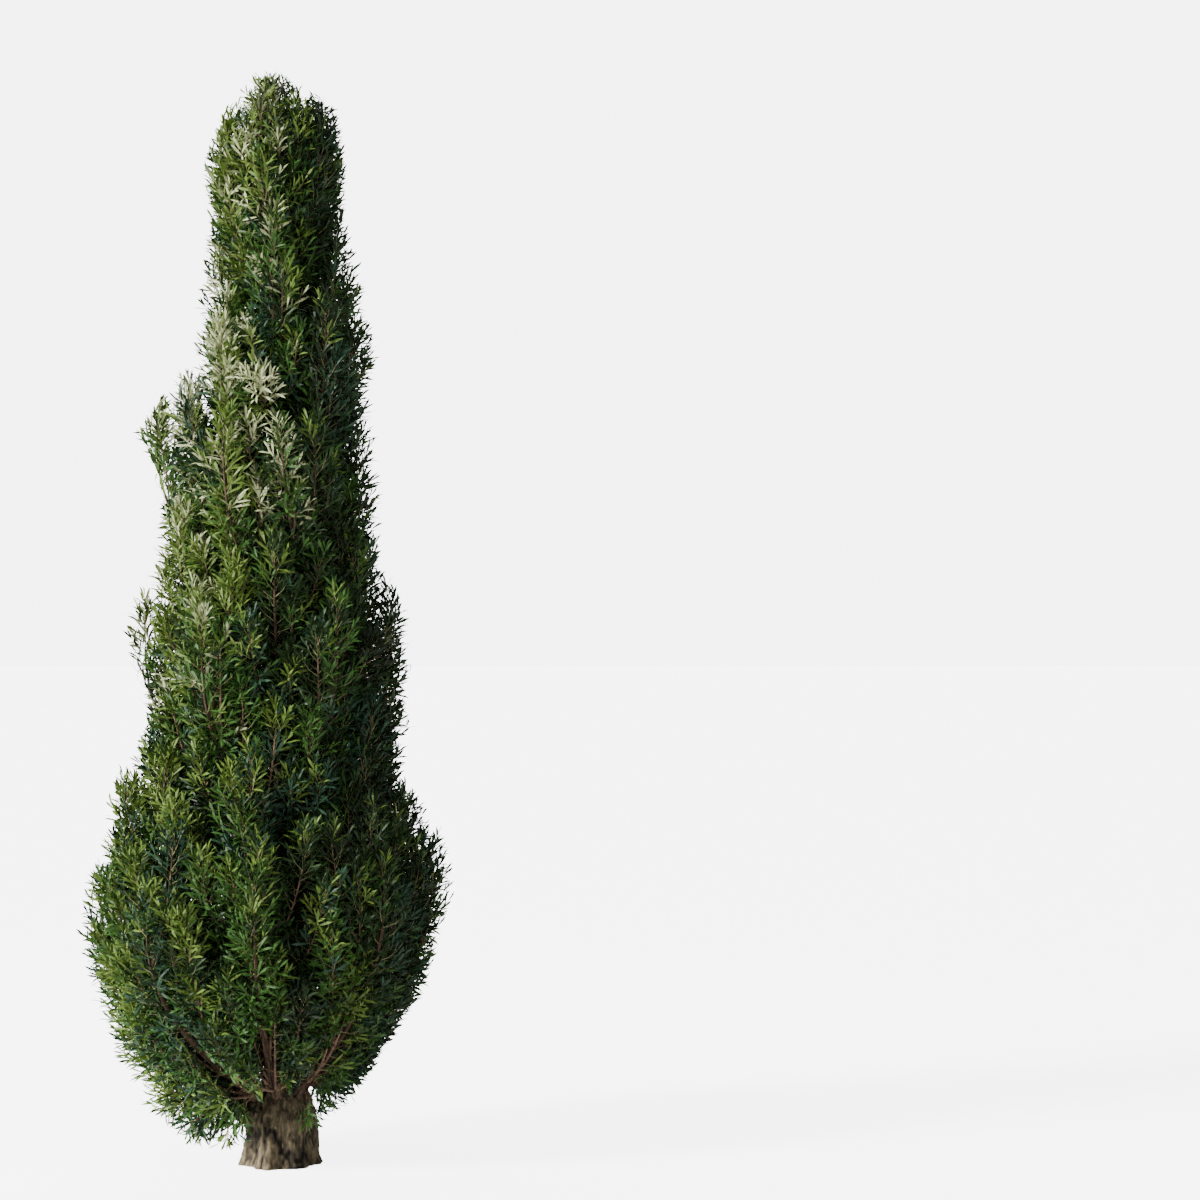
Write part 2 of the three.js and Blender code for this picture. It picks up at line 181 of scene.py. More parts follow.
def plain_material(name: str, roughness: float, gloss: float) -> tuple[Material, bpy.types.Node]:
    """Makes a material of one shader.

    Args:
        name: the name of the material.
        roughness: how matt it is, from 0 to 1.
        gloss: the strength of its reflections.

    Returns:
        The material and its shader.
    """
    material = bpy.data.materials.new(name)
    material.use_nodes = True
    shader = material.node_tree.nodes["Principled BSDF"]
    set_sockets(shader, {"Roughness": roughness, "Specular IOR Level": gloss})
    return material, shader


@dataclass(frozen=True)
class LeafFinish:
    """A plain leaf colour with a soft waxy gloss."""

    name: str
    colour: Triple
    roughness: float = 0.52
    gloss: float = 0.27

    def material(self) -> Material:
        """Makes and returns the material."""
        material, shader = plain_material(self.name, self.roughness, self.gloss)
        set_sockets(shader, {"Base Color": (*self.colour, 1.0)})
        return material


class Tone(Enum):
    """The leaf colours that are dealt out to the sprays, some of them as painted light and shade."""

    # SHADED is painted shade: it is dealt deep inside the crown and on its shaded right.
    SHADED = LeafFinish("leaf_shaded", (0.01, 0.022, 0.005))
    # DARK is the leaves' own dark green, also dealt as painted shade deep inside and on the right.
    DARK = LeafFinish("leaf_dark", (0.017, 0.041, 0.009))
    GREEN = LeafFinish("leaf_green", (0.034, 0.092, 0.013))
    BLUISH = LeafFinish("leaf_bluish", (0.02, 0.056, 0.028))
    # FRESH is the leaves' own yellow-green, dealt more on the lit left as painted light.
    FRESH = LeafFinish("leaf_fresh", (0.115, 0.182, 0.029))
    # The palest tone is partly the leaves' own cream and partly a painted sunlit highlight at the upper
    # left.
    CREAM = LeafFinish("leaf_cream_and_highlight", (0.47, 0.51, 0.27))

    @property
    def place(self) -> int:
        """The tone's material index on a piece of leaves."""
        return list(Tone).index(self)


class MottleGroup:
    """A shared effect: colour that drifts between two shades, and fine grain with it."""

    NAME = "mottle"
    SOCKETS = (
        ("Light", "INPUT", "Color"),
        ("Dark", "INPUT", "Color"),
        ("Scale", "INPUT", "Float"),
        ("Stretch", "INPUT", "Vector"),
        ("Colour", "OUTPUT", "Color"),
        ("Grain", "OUTPUT", "Float"),
    )

    def __init__(self) -> None:
        """Builds the node group."""
        self.tree = bpy.data.node_groups.new(self.NAME, "ShaderNodeTree")
        for socket, side, kind in self.SOCKETS:
            self.tree.interface.new_socket(socket, in_out=side, socket_type="NodeSocket" + kind)
        nodes = self.tree.nodes
        given = nodes.new("NodeGroupInput")
        result = nodes.new("NodeGroupOutput")
        place = nodes.new("ShaderNodeTexCoord")
        stretch = nodes.new("ShaderNodeVectorMath")
        stretch.operation = "MULTIPLY"
        noise = nodes.new("ShaderNodeTexNoise")
        set_sockets(noise, {"Detail": 6.0, "Roughness": 0.65})
        blend = nodes.new("ShaderNodeMix")
        blend.data_type = "RGBA"
        contrast = nodes.new("ShaderNodeMapRange")
        set_sockets(contrast, {"From Min": 0.4, "From Max": 0.6})
        links = (
            (place, "Object", stretch, 0),
            (given, "Stretch", stretch, 1),
            (stretch, 0, noise, "Vector"),
            (given, "Scale", noise, "Scale"),
            (noise, "Fac", contrast, "Value"),
            (contrast, "Result", blend, "Factor"),
            (given, "Dark", blend, "A"),
            (given, "Light", blend, "B"),
            (blend, "Result", result, "Colour"),
            (noise, "Fac", result, "Grain"),
        )
        wire(self.tree, links)

    def place_in(self, material: Material) -> bpy.types.Node:
        """Puts the effect in a material.

        Args:
            material: the material.

        Returns:
            The node of the effect in it.
        """
        node = material.node_tree.nodes.new("ShaderNodeGroup")
        node.node_tree = self.tree
        return node


@dataclass(frozen=True)
class BarkFinish:
    """Bark that drifts between two shades, with painted shade that darkens it down in its furrows."""

    name: str
    light: Triple
    dark: Triple
    # The furrow colour is painted shade, taken over where the relief is below the furrow relief.
    furrow: Triple
    scale: float
    stretch: Triple = (1.0, 1.0, 0.25)
    bump: float = 0.5
    roughness: float = 0.88
    gloss: float = 0.2
    furrow_relief: Pair = (0.16, 0.5)
    grain_height: float = 2.0 * MM

    def material(self, mottle: MottleGroup) -> Material:
        """Makes the material.

        Args:
            mottle: the shared effect that gives the drifting shades.

        Returns:
            A material that reads the mesh's relief attribute.
        """
        material, shader = plain_material(self.name, self.roughness, self.gloss)
        nodes = material.node_tree.nodes
        shades = mottle.place_in(material)
        set_sockets(shades, {"Light": (*self.light, 1.0), "Dark": (*self.dark, 1.0)})
        set_sockets(shades, {"Scale": self.scale, "Stretch": self.stretch})
        relief = nodes.new("ShaderNodeAttribute")
        relief.attribute_name = "relief"
        sink = nodes.new("ShaderNodeMapRange")
        set_sockets(sink, {"From Min": self.furrow_relief[0], "From Max": self.furrow_relief[1]})
        blend = nodes.new("ShaderNodeMix")
        blend.data_type = "RGBA"
        # Painted shade: the furrow colour darkens the bark where its relief is low.
        set_sockets(blend, {"A": (*self.furrow, 1.0)})
        bump = nodes.new("ShaderNodeBump")
        set_sockets(bump, {"Strength": self.bump, "Distance": self.grain_height})
        links = (
            (relief, "Fac", sink, "Value"),
            (sink, "Result", blend, "Factor"),
            (shades, "Colour", blend, "B"),
            (blend, "Result", shader, "Base Color"),
            (shades, "Grain", bump, "Height"),
            (bump, "Normal", shader, "Normal"),
        )
        wire(material.node_tree, links)
        return material


# The furrow colours of the barks are painted shade in their low relief.
TRUNK_BARK = BarkFinish(
    name="trunk_bark",
    light=(0.17, 0.135, 0.078),
    dark=(0.042, 0.032, 0.019),
    furrow=(0.006, 0.0045, 0.003),
    scale=80.0,
    stretch=(1.0, 1.0, 0.17),
    bump=0.8,
)
LIMB_BARK = BarkFinish("limb_bark", (0.12, 0.075, 0.045), (0.05, 0.032, 0.02), (0.02, 0.013, 0.008), 60.0)
SHOOT_BARK = BarkFinish("shoot_bark", (0.24, 0.15, 0.1), (0.09, 0.05, 0.035), (0.03, 0.02, 0.012), 90.0)
TWIG_FINISH = LeafFinish("twig_tan", (0.26, 0.23, 0.11), roughness=0.7, gloss=0.2)


# Meshes


def store_relief(mesh: bpy.types.Mesh, relief: Array) -> None:
    """Stores the height of the bark at every point of a mesh, for its finish, which paints shade where it
    is low.
    """
    attribute = mesh.attributes.new("relief", "FLOAT", "POINT")
    attribute.data.foreach_set("value", relief.astype(np.float32))


@dataclass
class MeshArrays:
    """Parts of one joined mesh, gathered as arrays."""

    points: list[Array] = field(default_factory=list)
    faces: list[Array] = field(default_factory=list)
    tones: list[Array] = field(default_factory=list)
    relief: list[Array] = field(default_factory=list)
    count: int = 0

    def add(self, points: Array, faces: Array, tones: Array | None = None) -> None:
        """Adds points with the triangles between them.

        Args:
            points: the new points, one in each row.
            faces: three places in points for each triangle.
            tones: the material index of each triangle, or none for the first material.
        """
        self.points.append(points)
        self.faces.append(faces + self.count)
        self.tones.append(np.zeros(len(faces), np.int32) if tones is None else tones)
        self.count += len(points)

    def build(self, name: str, materials: list[Material], smooth: bool) -> Piece:
        """Makes the mesh object.

        Args:
            name: the name of the object.
            materials: its materials, in the order of the tones.
            smooth: whether its faces are shaded smooth.

        Returns:
            The new object, at the origin.
        """
        points = np.concatenate(self.points).astype(np.float32)
        faces = np.concatenate(self.faces).astype(np.int32)
        mesh = bpy.data.meshes.new(name)
        mesh.vertices.add(len(points))
        mesh.vertices.foreach_set("co", points.ravel())
        mesh.loops.add(faces.size)
        mesh.loops.foreach_set("vertex_index", faces.ravel())
        mesh.polygons.add(len(faces))
        mesh.polygons.foreach_set("loop_start", np.arange(0, faces.size, 3, dtype=np.int32))
        for material in materials:
            mesh.materials.append(material)
        mesh.polygons.foreach_set("material_index", np.concatenate(self.tones).astype(np.int32))
        mesh.polygons.foreach_set("use_smooth", np.full(len(faces), smooth))
        if self.relief:
            store_relief(mesh, np.concatenate(self.relief))
        mesh.update(calc_edges=True)
        piece = bpy.data.objects.new(name, mesh)
        bpy.context.scene.collection.objects.link(piece)
        return piece


def tube(line: Array, radii: Array, sides: int) -> tuple[Array, Array]:
    """Sweeps a tapering tube with closed ends along a line.

    Args:
        line: the points of its middle line.
        radii: its radius at each of them.
        sides: the number of its sides.

    Returns:
        Its points and its triangles.
    """
    along = unit(np.gradient(line, axis=0))
    side = np.cross(UP, along)
    side[np.linalg.norm(side, axis=1) < 1e-3] = (0.0, 1.0, 0.0)
    side = unit(side)
    rings = spokes(side, np.cross(along, side), sides)
    points = (line[:, None] + radii[:, None, None] * rings).reshape(-1, 3)
    ring = np.arange(sides)
    after = (ring + 1) % sides
    faces = []
    for row in range(len(line) - 1):
        low, high = row * sides, (row + 1) * sides
        faces.append(np.stack([low + ring, low + after, high + after], 1))
        faces.append(np.stack([low + ring, high + after, high + ring], 1))
    foot, tip = len(points), len(points) + 1
    last = (len(line) - 1) * sides
    faces.append(np.stack([np.full(sides, foot), after, ring], 1))
    faces.append(np.stack([np.full(sides, tip), last + ring, last + after], 1))
    return np.vstack([points, line[0], line[-1]]), np.concatenate(faces)


# The crown's rule


@dataclass
class Trunk:
    """The trunk: a short fluted stump with a root flare, and a thin leader above it.

    Each layer of its bark has a number of values round the trunk, a number in a metre of height,
    a power that sharpens its furrows, and its weight.
    """

    leader_radii: Pair = (0.038, 0.0035)
    stump_radius: float = 0.062
    stump_top: Pair = (0.105, 0.3)
    flare: Pair = (0.014, 0.034)
    flutes: int = 7
    flute_turn: float = 0.5
    flute_depths: Pair = (0.07, 0.02)
    oval: float = 0.05
    oval_turn: float = 2.3
    lean: float = -0.045
    bow: float = 0.014
    sides: int = 180
    rows_of_stump: int = 80
    rows_of_leader: int = 16
    plate: float = 0.015
    mean_relief: float = 0.62
    fade_heights: Pair = (0.2, 0.5)
    smooth_angle: float = 60.0
    layers: tuple[tuple[int, float, float, float], ...] = (
        (17, 6.0, 0.55, 0.66),
        (41, 15.0, 0.7, 0.3),
        (89, 34.0, 0.8, 0.2),
    )

    def line(self, height: Array) -> Array:
        """Finds the centre line.

        Args:
            height: some heights.

        Returns:
            The points of the line at them.
        """
        share = np.asarray(height) / TREE_HEIGHT
        x = self.lean * share**2 + self.bow * np.sin(math.pi * share)
        return np.stack([x, self.bow * np.sin(2.0 * math.pi * share), np.asarray(height)], -1)

    def radius(self, height: Array) -> Array:
        """Finds the mean radius.

        Args:
            height: some heights.

        Returns:
            The radius at them, without the flutes.
        """
        leader = self.leader_radii[0] + np.diff(self.leader_radii)[0] * height / TRUNK_TOP
        stump = self.stump_radius * (1.0 - smooth_step(*self.stump_top, height))
        return leader + stump + self.flare[0] * np.exp(-height / self.flare[1])

    def clear_of(self, points: Array, margin: float) -> Array:
        """Tells which points lie outside the trunk.

        Args:
            points: the points.
            margin: how far outside they must be.

        Returns:
            True or False for each point.
        """
        height = np.clip(points[..., 2], 0.0, None)
        flat = np.linalg.norm((points - self.line(points[..., 2]))[..., :2], axis=-1)
        widest = self.radius(height) * (1.0 + self.flute_depths[0])
        return (points[..., 2] > TRUNK_TOP + margin) | (flat > widest + margin)

    def section(self, height: float, turns: Array) -> Array:
        """Finds the radius all round, with the flutes.

        Args:
            height: the height of the ring.
            turns: the angles of its points.

        Returns:
            The radius at each point.
        """
        up_the_stump = float(smooth_step(0.0, self.stump_top[1], np.array(height)))
        flutes = mix(self.flute_depths, up_the_stump) * np.cos(self.flutes * turns + self.flute_turn)
        oval = self.oval * (1.0 - up_the_stump) * np.cos(2.0 * turns + self.oval_turn)
        return float(self.radius(np.array(height))) * (1.0 + flutes + oval)

    def bark(self, height: float, turns: Array) -> Array:
        """Finds the relief of the bark all round: plates, strips and shreds, with small chips.

        Args:
            height: the height of the ring.
            turns: the angles of its points.

        Returns:
            The relief at each point, from 0 in a furrow to 1 on a plate.
        """
        wander = turns + 0.5 * (self.grain(height, turns, 6, 11.0) - 0.5)
        relief = np.zeros(len(turns))
        for round_count, per_metre, power, weight in self.layers:
            values = self.grain(height, wander, round_count, per_metre)
            relief += weight * np.abs(2.0 * values - 1.0) ** power
        chips = self.grain(height, turns, 73, 95.0)
        return np.clip(relief + 0.3 * chips - 0.26, 0.0, 1.0)

    @staticmethod
    def grain(height: float, turns: Array, round_count: int, per_metre: float) -> Array:
        """Returns smooth random values that close up round the trunk.

        Args:
            height: the height of the ring.
            turns: the angles of its points.
            round_count: the number of random values round the trunk.
            per_metre: the number of them in a metre of height.

        Returns:
            A value from 0 to 1 at each point.
        """
        values = np.random.default_rng(SEED + round_count).random((int(per_metre * 3.2) + 2, round_count))
        level = height * per_metre
        row = int(level)
        place = (turns / (2.0 * math.pi) % 1.0) * round_count
        column = place.astype(int) % round_count
        after = (column + 1) % round_count
        share = smooth_step(0.0, 1.0, place - np.floor(place))
        rise = smooth_step(0.0, 1.0, np.array(level - row))
        low = values[row, column] * (1.0 - share) + values[row, after] * share
        high = values[row + 1, column] * (1.0 - share) + values[row + 1, after] * share
        return low * (1.0 - rise) + high * rise

    def build(self, mottle: MottleGroup) -> Piece:
        """Models the trunk ring by ring and gives it its bark.

        Args:
            mottle: the shared effect of its finish.

        Returns:
            The dressed trunk.
        """
        stump = np.linspace(0.0, self.stump_top[1], self.rows_of_stump)
        leader = np.linspace(self.stump_top[1], TRUNK_TOP, self.rows_of_leader + 1)[1:]
        heights = np.concatenate([stump, leader])
        bpy.ops.object.select_all(action="DESELECT")
        bpy.ops.mesh.primitive_circle_add(vertices=self.sides, radius=1.0, fill_type="NGON")
        piece = bpy.context.object
        piece.name = piece.data.name = "trunk_bark"
        bpy.ops.object.mode_set(mode="EDIT")
        bpy.ops.mesh.select_mode(type="FACE")
        bpy.ops.mesh.select_all(action="SELECT")
        for rise in np.diff(heights):
            bpy.ops.mesh.extrude_region_move(TRANSFORM_OT_translate={"value": (0.0, 0.0, float(rise))})
        bpy.ops.mesh.select_all(action="SELECT")
        bpy.ops.mesh.normals_make_consistent(inside=False)
        bpy.ops.object.mode_set(mode="OBJECT")
        points = np.empty(len(piece.data.vertices) * 3)
        piece.data.vertices.foreach_get("co", points)
        points = points.reshape(-1, 3)
        turns = np.arctan2(points[:, 1], points[:, 0])
        relief = np.zeros(len(points))
        rows = np.abs(points[:, 2][:, None] - heights[None]).argmin(1)
        for row, height in enumerate(heights):
            here = rows == row
            fade = float(1.0 - 0.8 * smooth_step(*self.fade_heights, np.array(height)))
            bark = self.bark(height, turns[here])
            radii = self.section(height, turns[here]) + self.plate * fade * (bark - self.mean_relief)
            middle = self.line(np.array(height))
            points[here, 0] = middle[0] + radii * np.cos(turns[here])
            points[here, 1] = middle[1] + radii * np.sin(turns[here])
            relief[here] = bark
        piece.data.vertices.foreach_set("co", points.ravel())
        store_relief(piece.data, relief)
        piece.data.materials.append(TRUNK_BARK.material(mottle))
        bpy.ops.object.shade_smooth_by_angle(angle=math.radians(self.smooth_angle))
        piece.data.update()
        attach(piece, "root")
        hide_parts("trunk")
        return piece


@dataclass(frozen=True)
class Crown:
    """The crown's outline: its reach to the left and right of its middle by height, in millimetres.

    The lit side, where the tones are dealt lighter as painted light and away from which they are dealt
    darker as painted shade, is given in shares of the reach, and two heights in metres between which it
    widens; the palest tones, partly the leaves' own cream and partly painted highlight, keep to a part of
    it above two other heights.
    """

    heights: tuple[int, ...] = (
        60, 160, 330, 480, 650, 760, 900, 1060, 1200, 1330,
        1450, 1600, 1850, 2010, 2150, 2350, 2600, 2750, 2900, 3000,
    )
    left: tuple[int, ...] = (
        240, 355, 478, 500, 553, 525, 485, 455, 350, 350,
        415, 366, 292, 385, 272, 215, 184, 198, 130, 60,
    )
    right: tuple[int, ...] = (
        115, 190, 288, 392, 430, 467, 445, 325, 366, 335,
        368, 290, 264, 245, 270, 265, 158, 168, 146, -20,
    )
    light_side: float = 0.53
    light_widening: float = 0.17
    light_slope: float = 0.95
    light_heights: Pair = (1.5, 2.2)
    pale_side: Pair = (0.42, 0.85)
    pale_heights: Pair = (1.0, 1.9)
    least_girth: float = 0.1

    def reach(self, height: Array, rightness: Array) -> Array:
        """Finds how far the crown reaches.

        Args:
            height: some heights.
            rightness: from 1 on the right to -1 on the left.

        Returns:
            The reach at each height.
        """
        rows = np.array(self.heights) * MM
        left = np.interp(height, rows, np.array(self.left) * MM)
        right = np.interp(height, rows, np.array(self.right) * MM)
        return left + (right - left) * (1.0 + rightness) / 2.0

    def depth(self, points: Array) -> Array:
        """Returns how far points lie inside the outline."""
        flat = np.linalg.norm(points[..., :2], axis=-1)
        return self.reach(points[..., 2], points[..., 0] / np.maximum(flat, 1e-9)) - flat

    def lit_side_share(self, point: Array) -> float:
        """Finds how far a point is on the lit side, where lighter tones are dealt as painted light.

        Args:
            point: the point.

        Returns:
            From 1 on the crown's left to 0 on its right.
        """
        girth = max(float(self.reach(point[2], 0.0)), self.least_girth)
        widening = float(smooth_step(*self.light_heights, np.array(point[2])))
        middle = self.light_side + self.light_widening * widening
        return float(np.clip(middle - self.light_slope * point[0] / girth, 0.0, 1.0))

    def paleness(self, point: Array) -> float:
        """Returns 1 for a point at the crown's upper left and 0 for one low down or on its right; the
        palest tones dealt there are partly the leaves' own cream and partly painted highlight.
        """
        height = smooth_step(*self.pale_heights, point[2])
        return float(height * smooth_step(*self.pale_side, np.array(self.lit_side_share(point))))


@dataclass(frozen=True)
class Tier:
    """One tier of limbs, with its sizes in millimetres and its turn in degrees.

    Its tips stand at one height on the left and another on the right. A bare share of each limb has
    no foliage, which hangs by a drop below its start. Radius is the room that the foliage takes.
    """

    name: str
    count: int
    turn: float
    foot: float
    tip: Pair
    bare: float
    drop: float
    radius: float
    bough: float
    pieces: int = 1


TIERS = (
    Tier("skirt", 8, 0, 128, (800, 905), 0.2, 120, 180, 15, pieces=2),
    Tier("lower", 6, 25, 215, (1075, 1215), 0.34, 0, 175, 14),
    Tier("waist", 6, 0, 780, (1560, 1590), 0.1, 40, 165, 10),
    Tier("middle", 6, 30, 1130, (1820, 1730), 0.1, 40, 150, 9),
    Tier("upper", 6, 0, 1420, (2110, 2030), 0.1, 40, 140, 8),
    Tier("high", 4, 45, 1700, (2310, 2380), 0.1, 40, 130, 7),
    Tier("neck", 4, 0, 1990, (2560, 2610), 0.1, 40, 120, 6),
    Tier("crest", 3, 180, 2290, (2850, 2940), 0.1, 30, 100, 5),
)
LEADER = Tier("leader", 1, 0, 2640, (3000, 3000), 0.0, -5, 84, 3.4)

# A limb's spray and inset, its jitter in height (mm) and turn (degrees), and how it swings and stands
SPRAY_LENGTH = 0.104
STEM_INSET = 0.044
HEIGHT_JITTER = 45.0
TURN_JITTER = 5.0
SWING = (0.58, 0.34)
STAND = (0.04, 0.42)
STEM_SAMPLES = 17


@dataclass
class LimbLine:
    """The line of a limb, measured along its length."""

    corners: Array
    dense: Array = field(init=False)
    lengths: Array = field(init=False)

    def __post_init__(self) -> None:
        """Draws the curve through its corners and measures it."""
        t = np.linspace(0.0, 1.0, 201)[:, None]
        a, b, c, d = self.corners
        self.dense = (1 - t) ** 3 * a + 3 * (1 - t) ** 2 * t * b + 3 * (1 - t) * t**2 * c + t**3 * d
        steps = np.linalg.norm(np.diff(self.dense, axis=0), axis=1)
        self.lengths = np.concatenate([[0.0], np.cumsum(steps)])

    def at(self, share: Array) -> Array:
        """Returns the points at some shares of the length."""
        return interpolated(np.asarray(share) * self.lengths[-1], self.lengths, self.dense)

    def end_direction(self) -> Array:
        """Returns the direction in which the line ends."""
        return unit(self.dense[-1] - self.dense[-3])


@dataclass
class Plume:
    """A limb with its foliage."""

    tier: Tier
    number: int
    line: LimbLine
    outward: Array
    start: Array = field(init=False)
    heights: Pair = field(init=False)
    samples: Array = field(init=False)
    weights: Array = field(init=False)

    def __post_init__(self) -> None:
        """Works out where its foliage is and how much room it takes."""
        self.start = self.line.at(self.tier.bare)
        end = self.line.at(1.0)
        self.heights = (self.start[2] - self.tier.drop * MM, end[2] - 0.01)
        beyond = end + np.array([[0.5], [1.0]]) * SPRAY_LENGTH * self.line.end_direction()
        self.samples = np.vstack([self.line.at(np.linspace(0.0, 1.0, STEM_SAMPLES)), beyond])
        fullness = np.maximum(self.swell(self.share_of(self.samples[:, 2])), 0.4)
        self.weights = 0.35 * self.tier.radius * MM * fullness
        self.weights[0] = 0.0

    @staticmethod
    def swell(share: Array) -> Array:
        """Returns how full the foliage is along its height, from nothing at both ends to 1."""
        return np.clip(np.sin(math.pi * np.asarray(share) ** 0.75), 0.0, None) ** 0.6

    def share_of(self, height: Array) -> Array:
        """Returns where heights lie between the foliage's foot and top, from 0 to 1."""
        low, high = self.heights
        return np.clip((height - low) / (high - low), 0.0, 1.0)


@dataclass
class Growth:
    """The crown's plumes, the spaces that they keep to, and the bare feet of the lowest limbs."""

    trunk: Trunk
    crown: Crown
    plumes: list[Plume] = field(default_factory=list)
    bare_heights: Pair = (0.1, 0.42)
    bare_widths: Pair = (0.036, 0.014)
    bare_behind: float = 0.012
    least_facing: float = 0.3

    def grow(self) -> None:
        """Grows every limb from the trunk by the seeded rule."""
        source = RandomSource(SEED)
        for tier in TIERS:
            for number in range(tier.count):
                turn = tier.turn + 360.0 * number / tier.count + TURN_JITTER * source.swing()
                outward = level_direction(math.radians(turn))
                lift = HEIGHT_JITTER * source.swing() * (1.0 - abs(outward[0])) * MM
                tip = mix(tier.tip, (1.0 + outward[0]) / 2.0) * MM
                stem_top = tip + lift - SPRAY_LENGTH
                line = self.limb_line(tier.foot * MM + lift / 2.0, outward, stem_top)
                self.plumes.append(Plume(tier, number + 1, line, outward))
        stem_top = TREE_HEIGHT - SPRAY_LENGTH
        corners = self.trunk.line(np.linspace(TRUNK_TOP + GAP, stem_top, 4))
        self.plumes.append(Plume(LEADER, 1, LimbLine(corners), np.zeros(3)))

    def limb_line(self, foot: float, outward: Array, stem_top: float) -> LimbLine:
        """Draws a limb from the trunk to the end of its stem.

        Args:
            foot: the height where it leaves the trunk.
            outward: the level direction that it grows in.
            stem_top: the height of the end of its stem.

        Returns:
            Its line, which swings out and then stands up.
        """
        reach = float(self.crown.reach(np.array(stem_top), outward[0])) - STEM_INSET
        start = self.trunk.line(np.array(foot))
        end = reach * outward + stem_top * UP
        climb = stem_top - foot
        swing = start + SWING[0] * reach * outward + SWING[1] * climb * UP
        stand = end + STAND[0] * reach * outward - STAND[1] * climb * UP
        return LimbLine(np.stack([start, swing, stand, end]))

    def nearness(self, plume: Plume, points: Array) -> Array:
        """Returns how near points are to a plume's limb, less the room it takes."""
        distances = np.linalg.norm(points[..., None, :] - plume.samples, axis=-1)
        return (distances - plume.weights).min(-1)

    def before_limb(self, points: Array) -> Array:
        """Tells which points lie where they would hide the foot of a skirt limb.

        Nothing grows there, so that the lowest limbs show from the front and from behind.

        Args:
            points: the points.

        Returns:
            True or False for each point.
        """
        covered = np.zeros(points.shape[:-1], bool)
        half_width = np.interp(points[..., 2], self.bare_heights, self.bare_widths)
        low = points[..., 2] < self.bare_heights[1]
        for plume in self.plumes[: TIERS[0].count]:
            if abs(plume.outward[1]) < self.least_facing:
                continue
            line = plume.samples[:STEM_SAMPLES]
            out = unit(np.array([0.1, math.copysign(1.0, plume.outward[1]), 0.0]))
            away = points[..., :2] - interpolated(points[..., 2], line[:, 2], line[:, :2])
            ahead = (away * out[:2]).sum(-1)
            beside = out[0] * away[..., 1] - out[1] * away[..., 0]
            covered |= low & (np.abs(beside) < half_width) & (ahead > -self.bare_behind)
        return covered

    def in_space(self, plume: Plume, points: Array, margin: float) -> Array:
        """Returns whether points keep to a plume's own space.

        Args:
            plume: the plume that they belong to.
            points: the points, one in each row.
            margin: how far inside the space they must be.

        Returns:
            True or False for each point.
        """
        fits = (points[..., 2] > GAP) & self.trunk.clear_of(points, GAP)
        own = self.nearness(plume, points) + margin
        for other in self.plumes:
            if other is not plume:
                fits &= self.nearness(other, points) > own
        return fits


# What grows on the limbs


@dataclass(frozen=True)
class Leaves:
    """The number of leaves on a twig and their length."""

    count: int
    length: float


SMALL_LEAVES = Leaves(11, 0.049)
SHADE_LEAVES = Leaves(8, 0.06)


@dataclass
class Shoot:
    """A side shoot: a small upright plume of twigs on its own stem."""

    line: Array
    plume: Plume
    outward: Array
    tone: Tone
    leaves: Leaves = SMALL_LEAVES
    over: float = 0.012
    radii: Pair = (0.0045, 0.0014)

    @property
    def length(self) -> float:
        """The length of its stem."""
        return float(np.linalg.norm(np.diff(self.line, axis=0), axis=1).sum())


@dataclass(frozen=True)
class LayerSizes:
    """The sizes of a layer of shoots.

    Its tips lie inset from the outline, in a spiral from a first turn and between two heights. They
    stand a distance apart from those before them, and their twigs may come over the outline a little.
    """

    count: int
    inset: float
    first_turn: float
    heights: Pair
    apart: float = 0.07
    over: float = 0.012
    leaves: Leaves = SMALL_LEAVES


class Layer(Enum):
    """The layers of shoots, from the outside of the crown inwards."""

    OUTER = LayerSizes(262, 0.05, 0.0, (0.1, 2.92))
    LOWEST = LayerSizes(17, 0.015, 0.8, (0.06, 0.12))
    TOP = LayerSizes(30, 0.035, 0.4, (2.7, 2.96), apart=0.05, over=0.03)
    INNER = LayerSizes(110, 0.15, 1.9, (0.35, 2.7), leaves=SHADE_LEAVES)
    DEEP = LayerSizes(52, 0.27, 3.1, (0.4, 2.3), leaves=SHADE_LEAVES)
    GAPS = LayerSizes(3600, 0.08, 0.9, (0.35, 2.6), apart=0.075)


@dataclass(frozen=True)
class Deal:
    """How often each tone is dealt, in their order: on the crown's right, left and upper left. The right
    takes darker tones as painted shade, the lit left lighter ones as painted light, and the upper left the
    palest, partly the leaves' own cream and partly painted highlight.
    """

    right: tuple[float, ...]
    left: tuple[float, ...]
    upper_left: tuple[float, ...]

    def at(self, crown: Crown, point: Array) -> Array:
        """Finds how often each tone is dealt at a point.

        Args:
            crown: the crown.
            point: the point.

        Returns:
            The share of each tone, which add up to 1.
        """
        right, left, upper_left = map(np.array, (self.right, self.left, self.upper_left))
        return mix((right, mix((left, upper_left), crown.paleness(point))), crown.lit_side_share(point))


# Painted light and shade: darker tones on the crown's right, lighter on its lit left.
SHOOT_DEAL = Deal(
    right=(0.23, 0.43, 0.14, 0.19, 0.01, 0.0),
    left=(0.02, 0.22, 0.54, 0.12, 0.1, 0.0),
    upper_left=(0.01, 0.06, 0.22, 0.07, 0.44, 0.2),
)
TWIG_DEAL = Deal(
    right=(0.2, 0.42, 0.18, 0.19, 0.01, 0.0),
    left=(0.03, 0.23, 0.5, 0.13, 0.11, 0.0),
    upper_left=(0.01, 0.06, 0.18, 0.07, 0.3, 0.38),
)


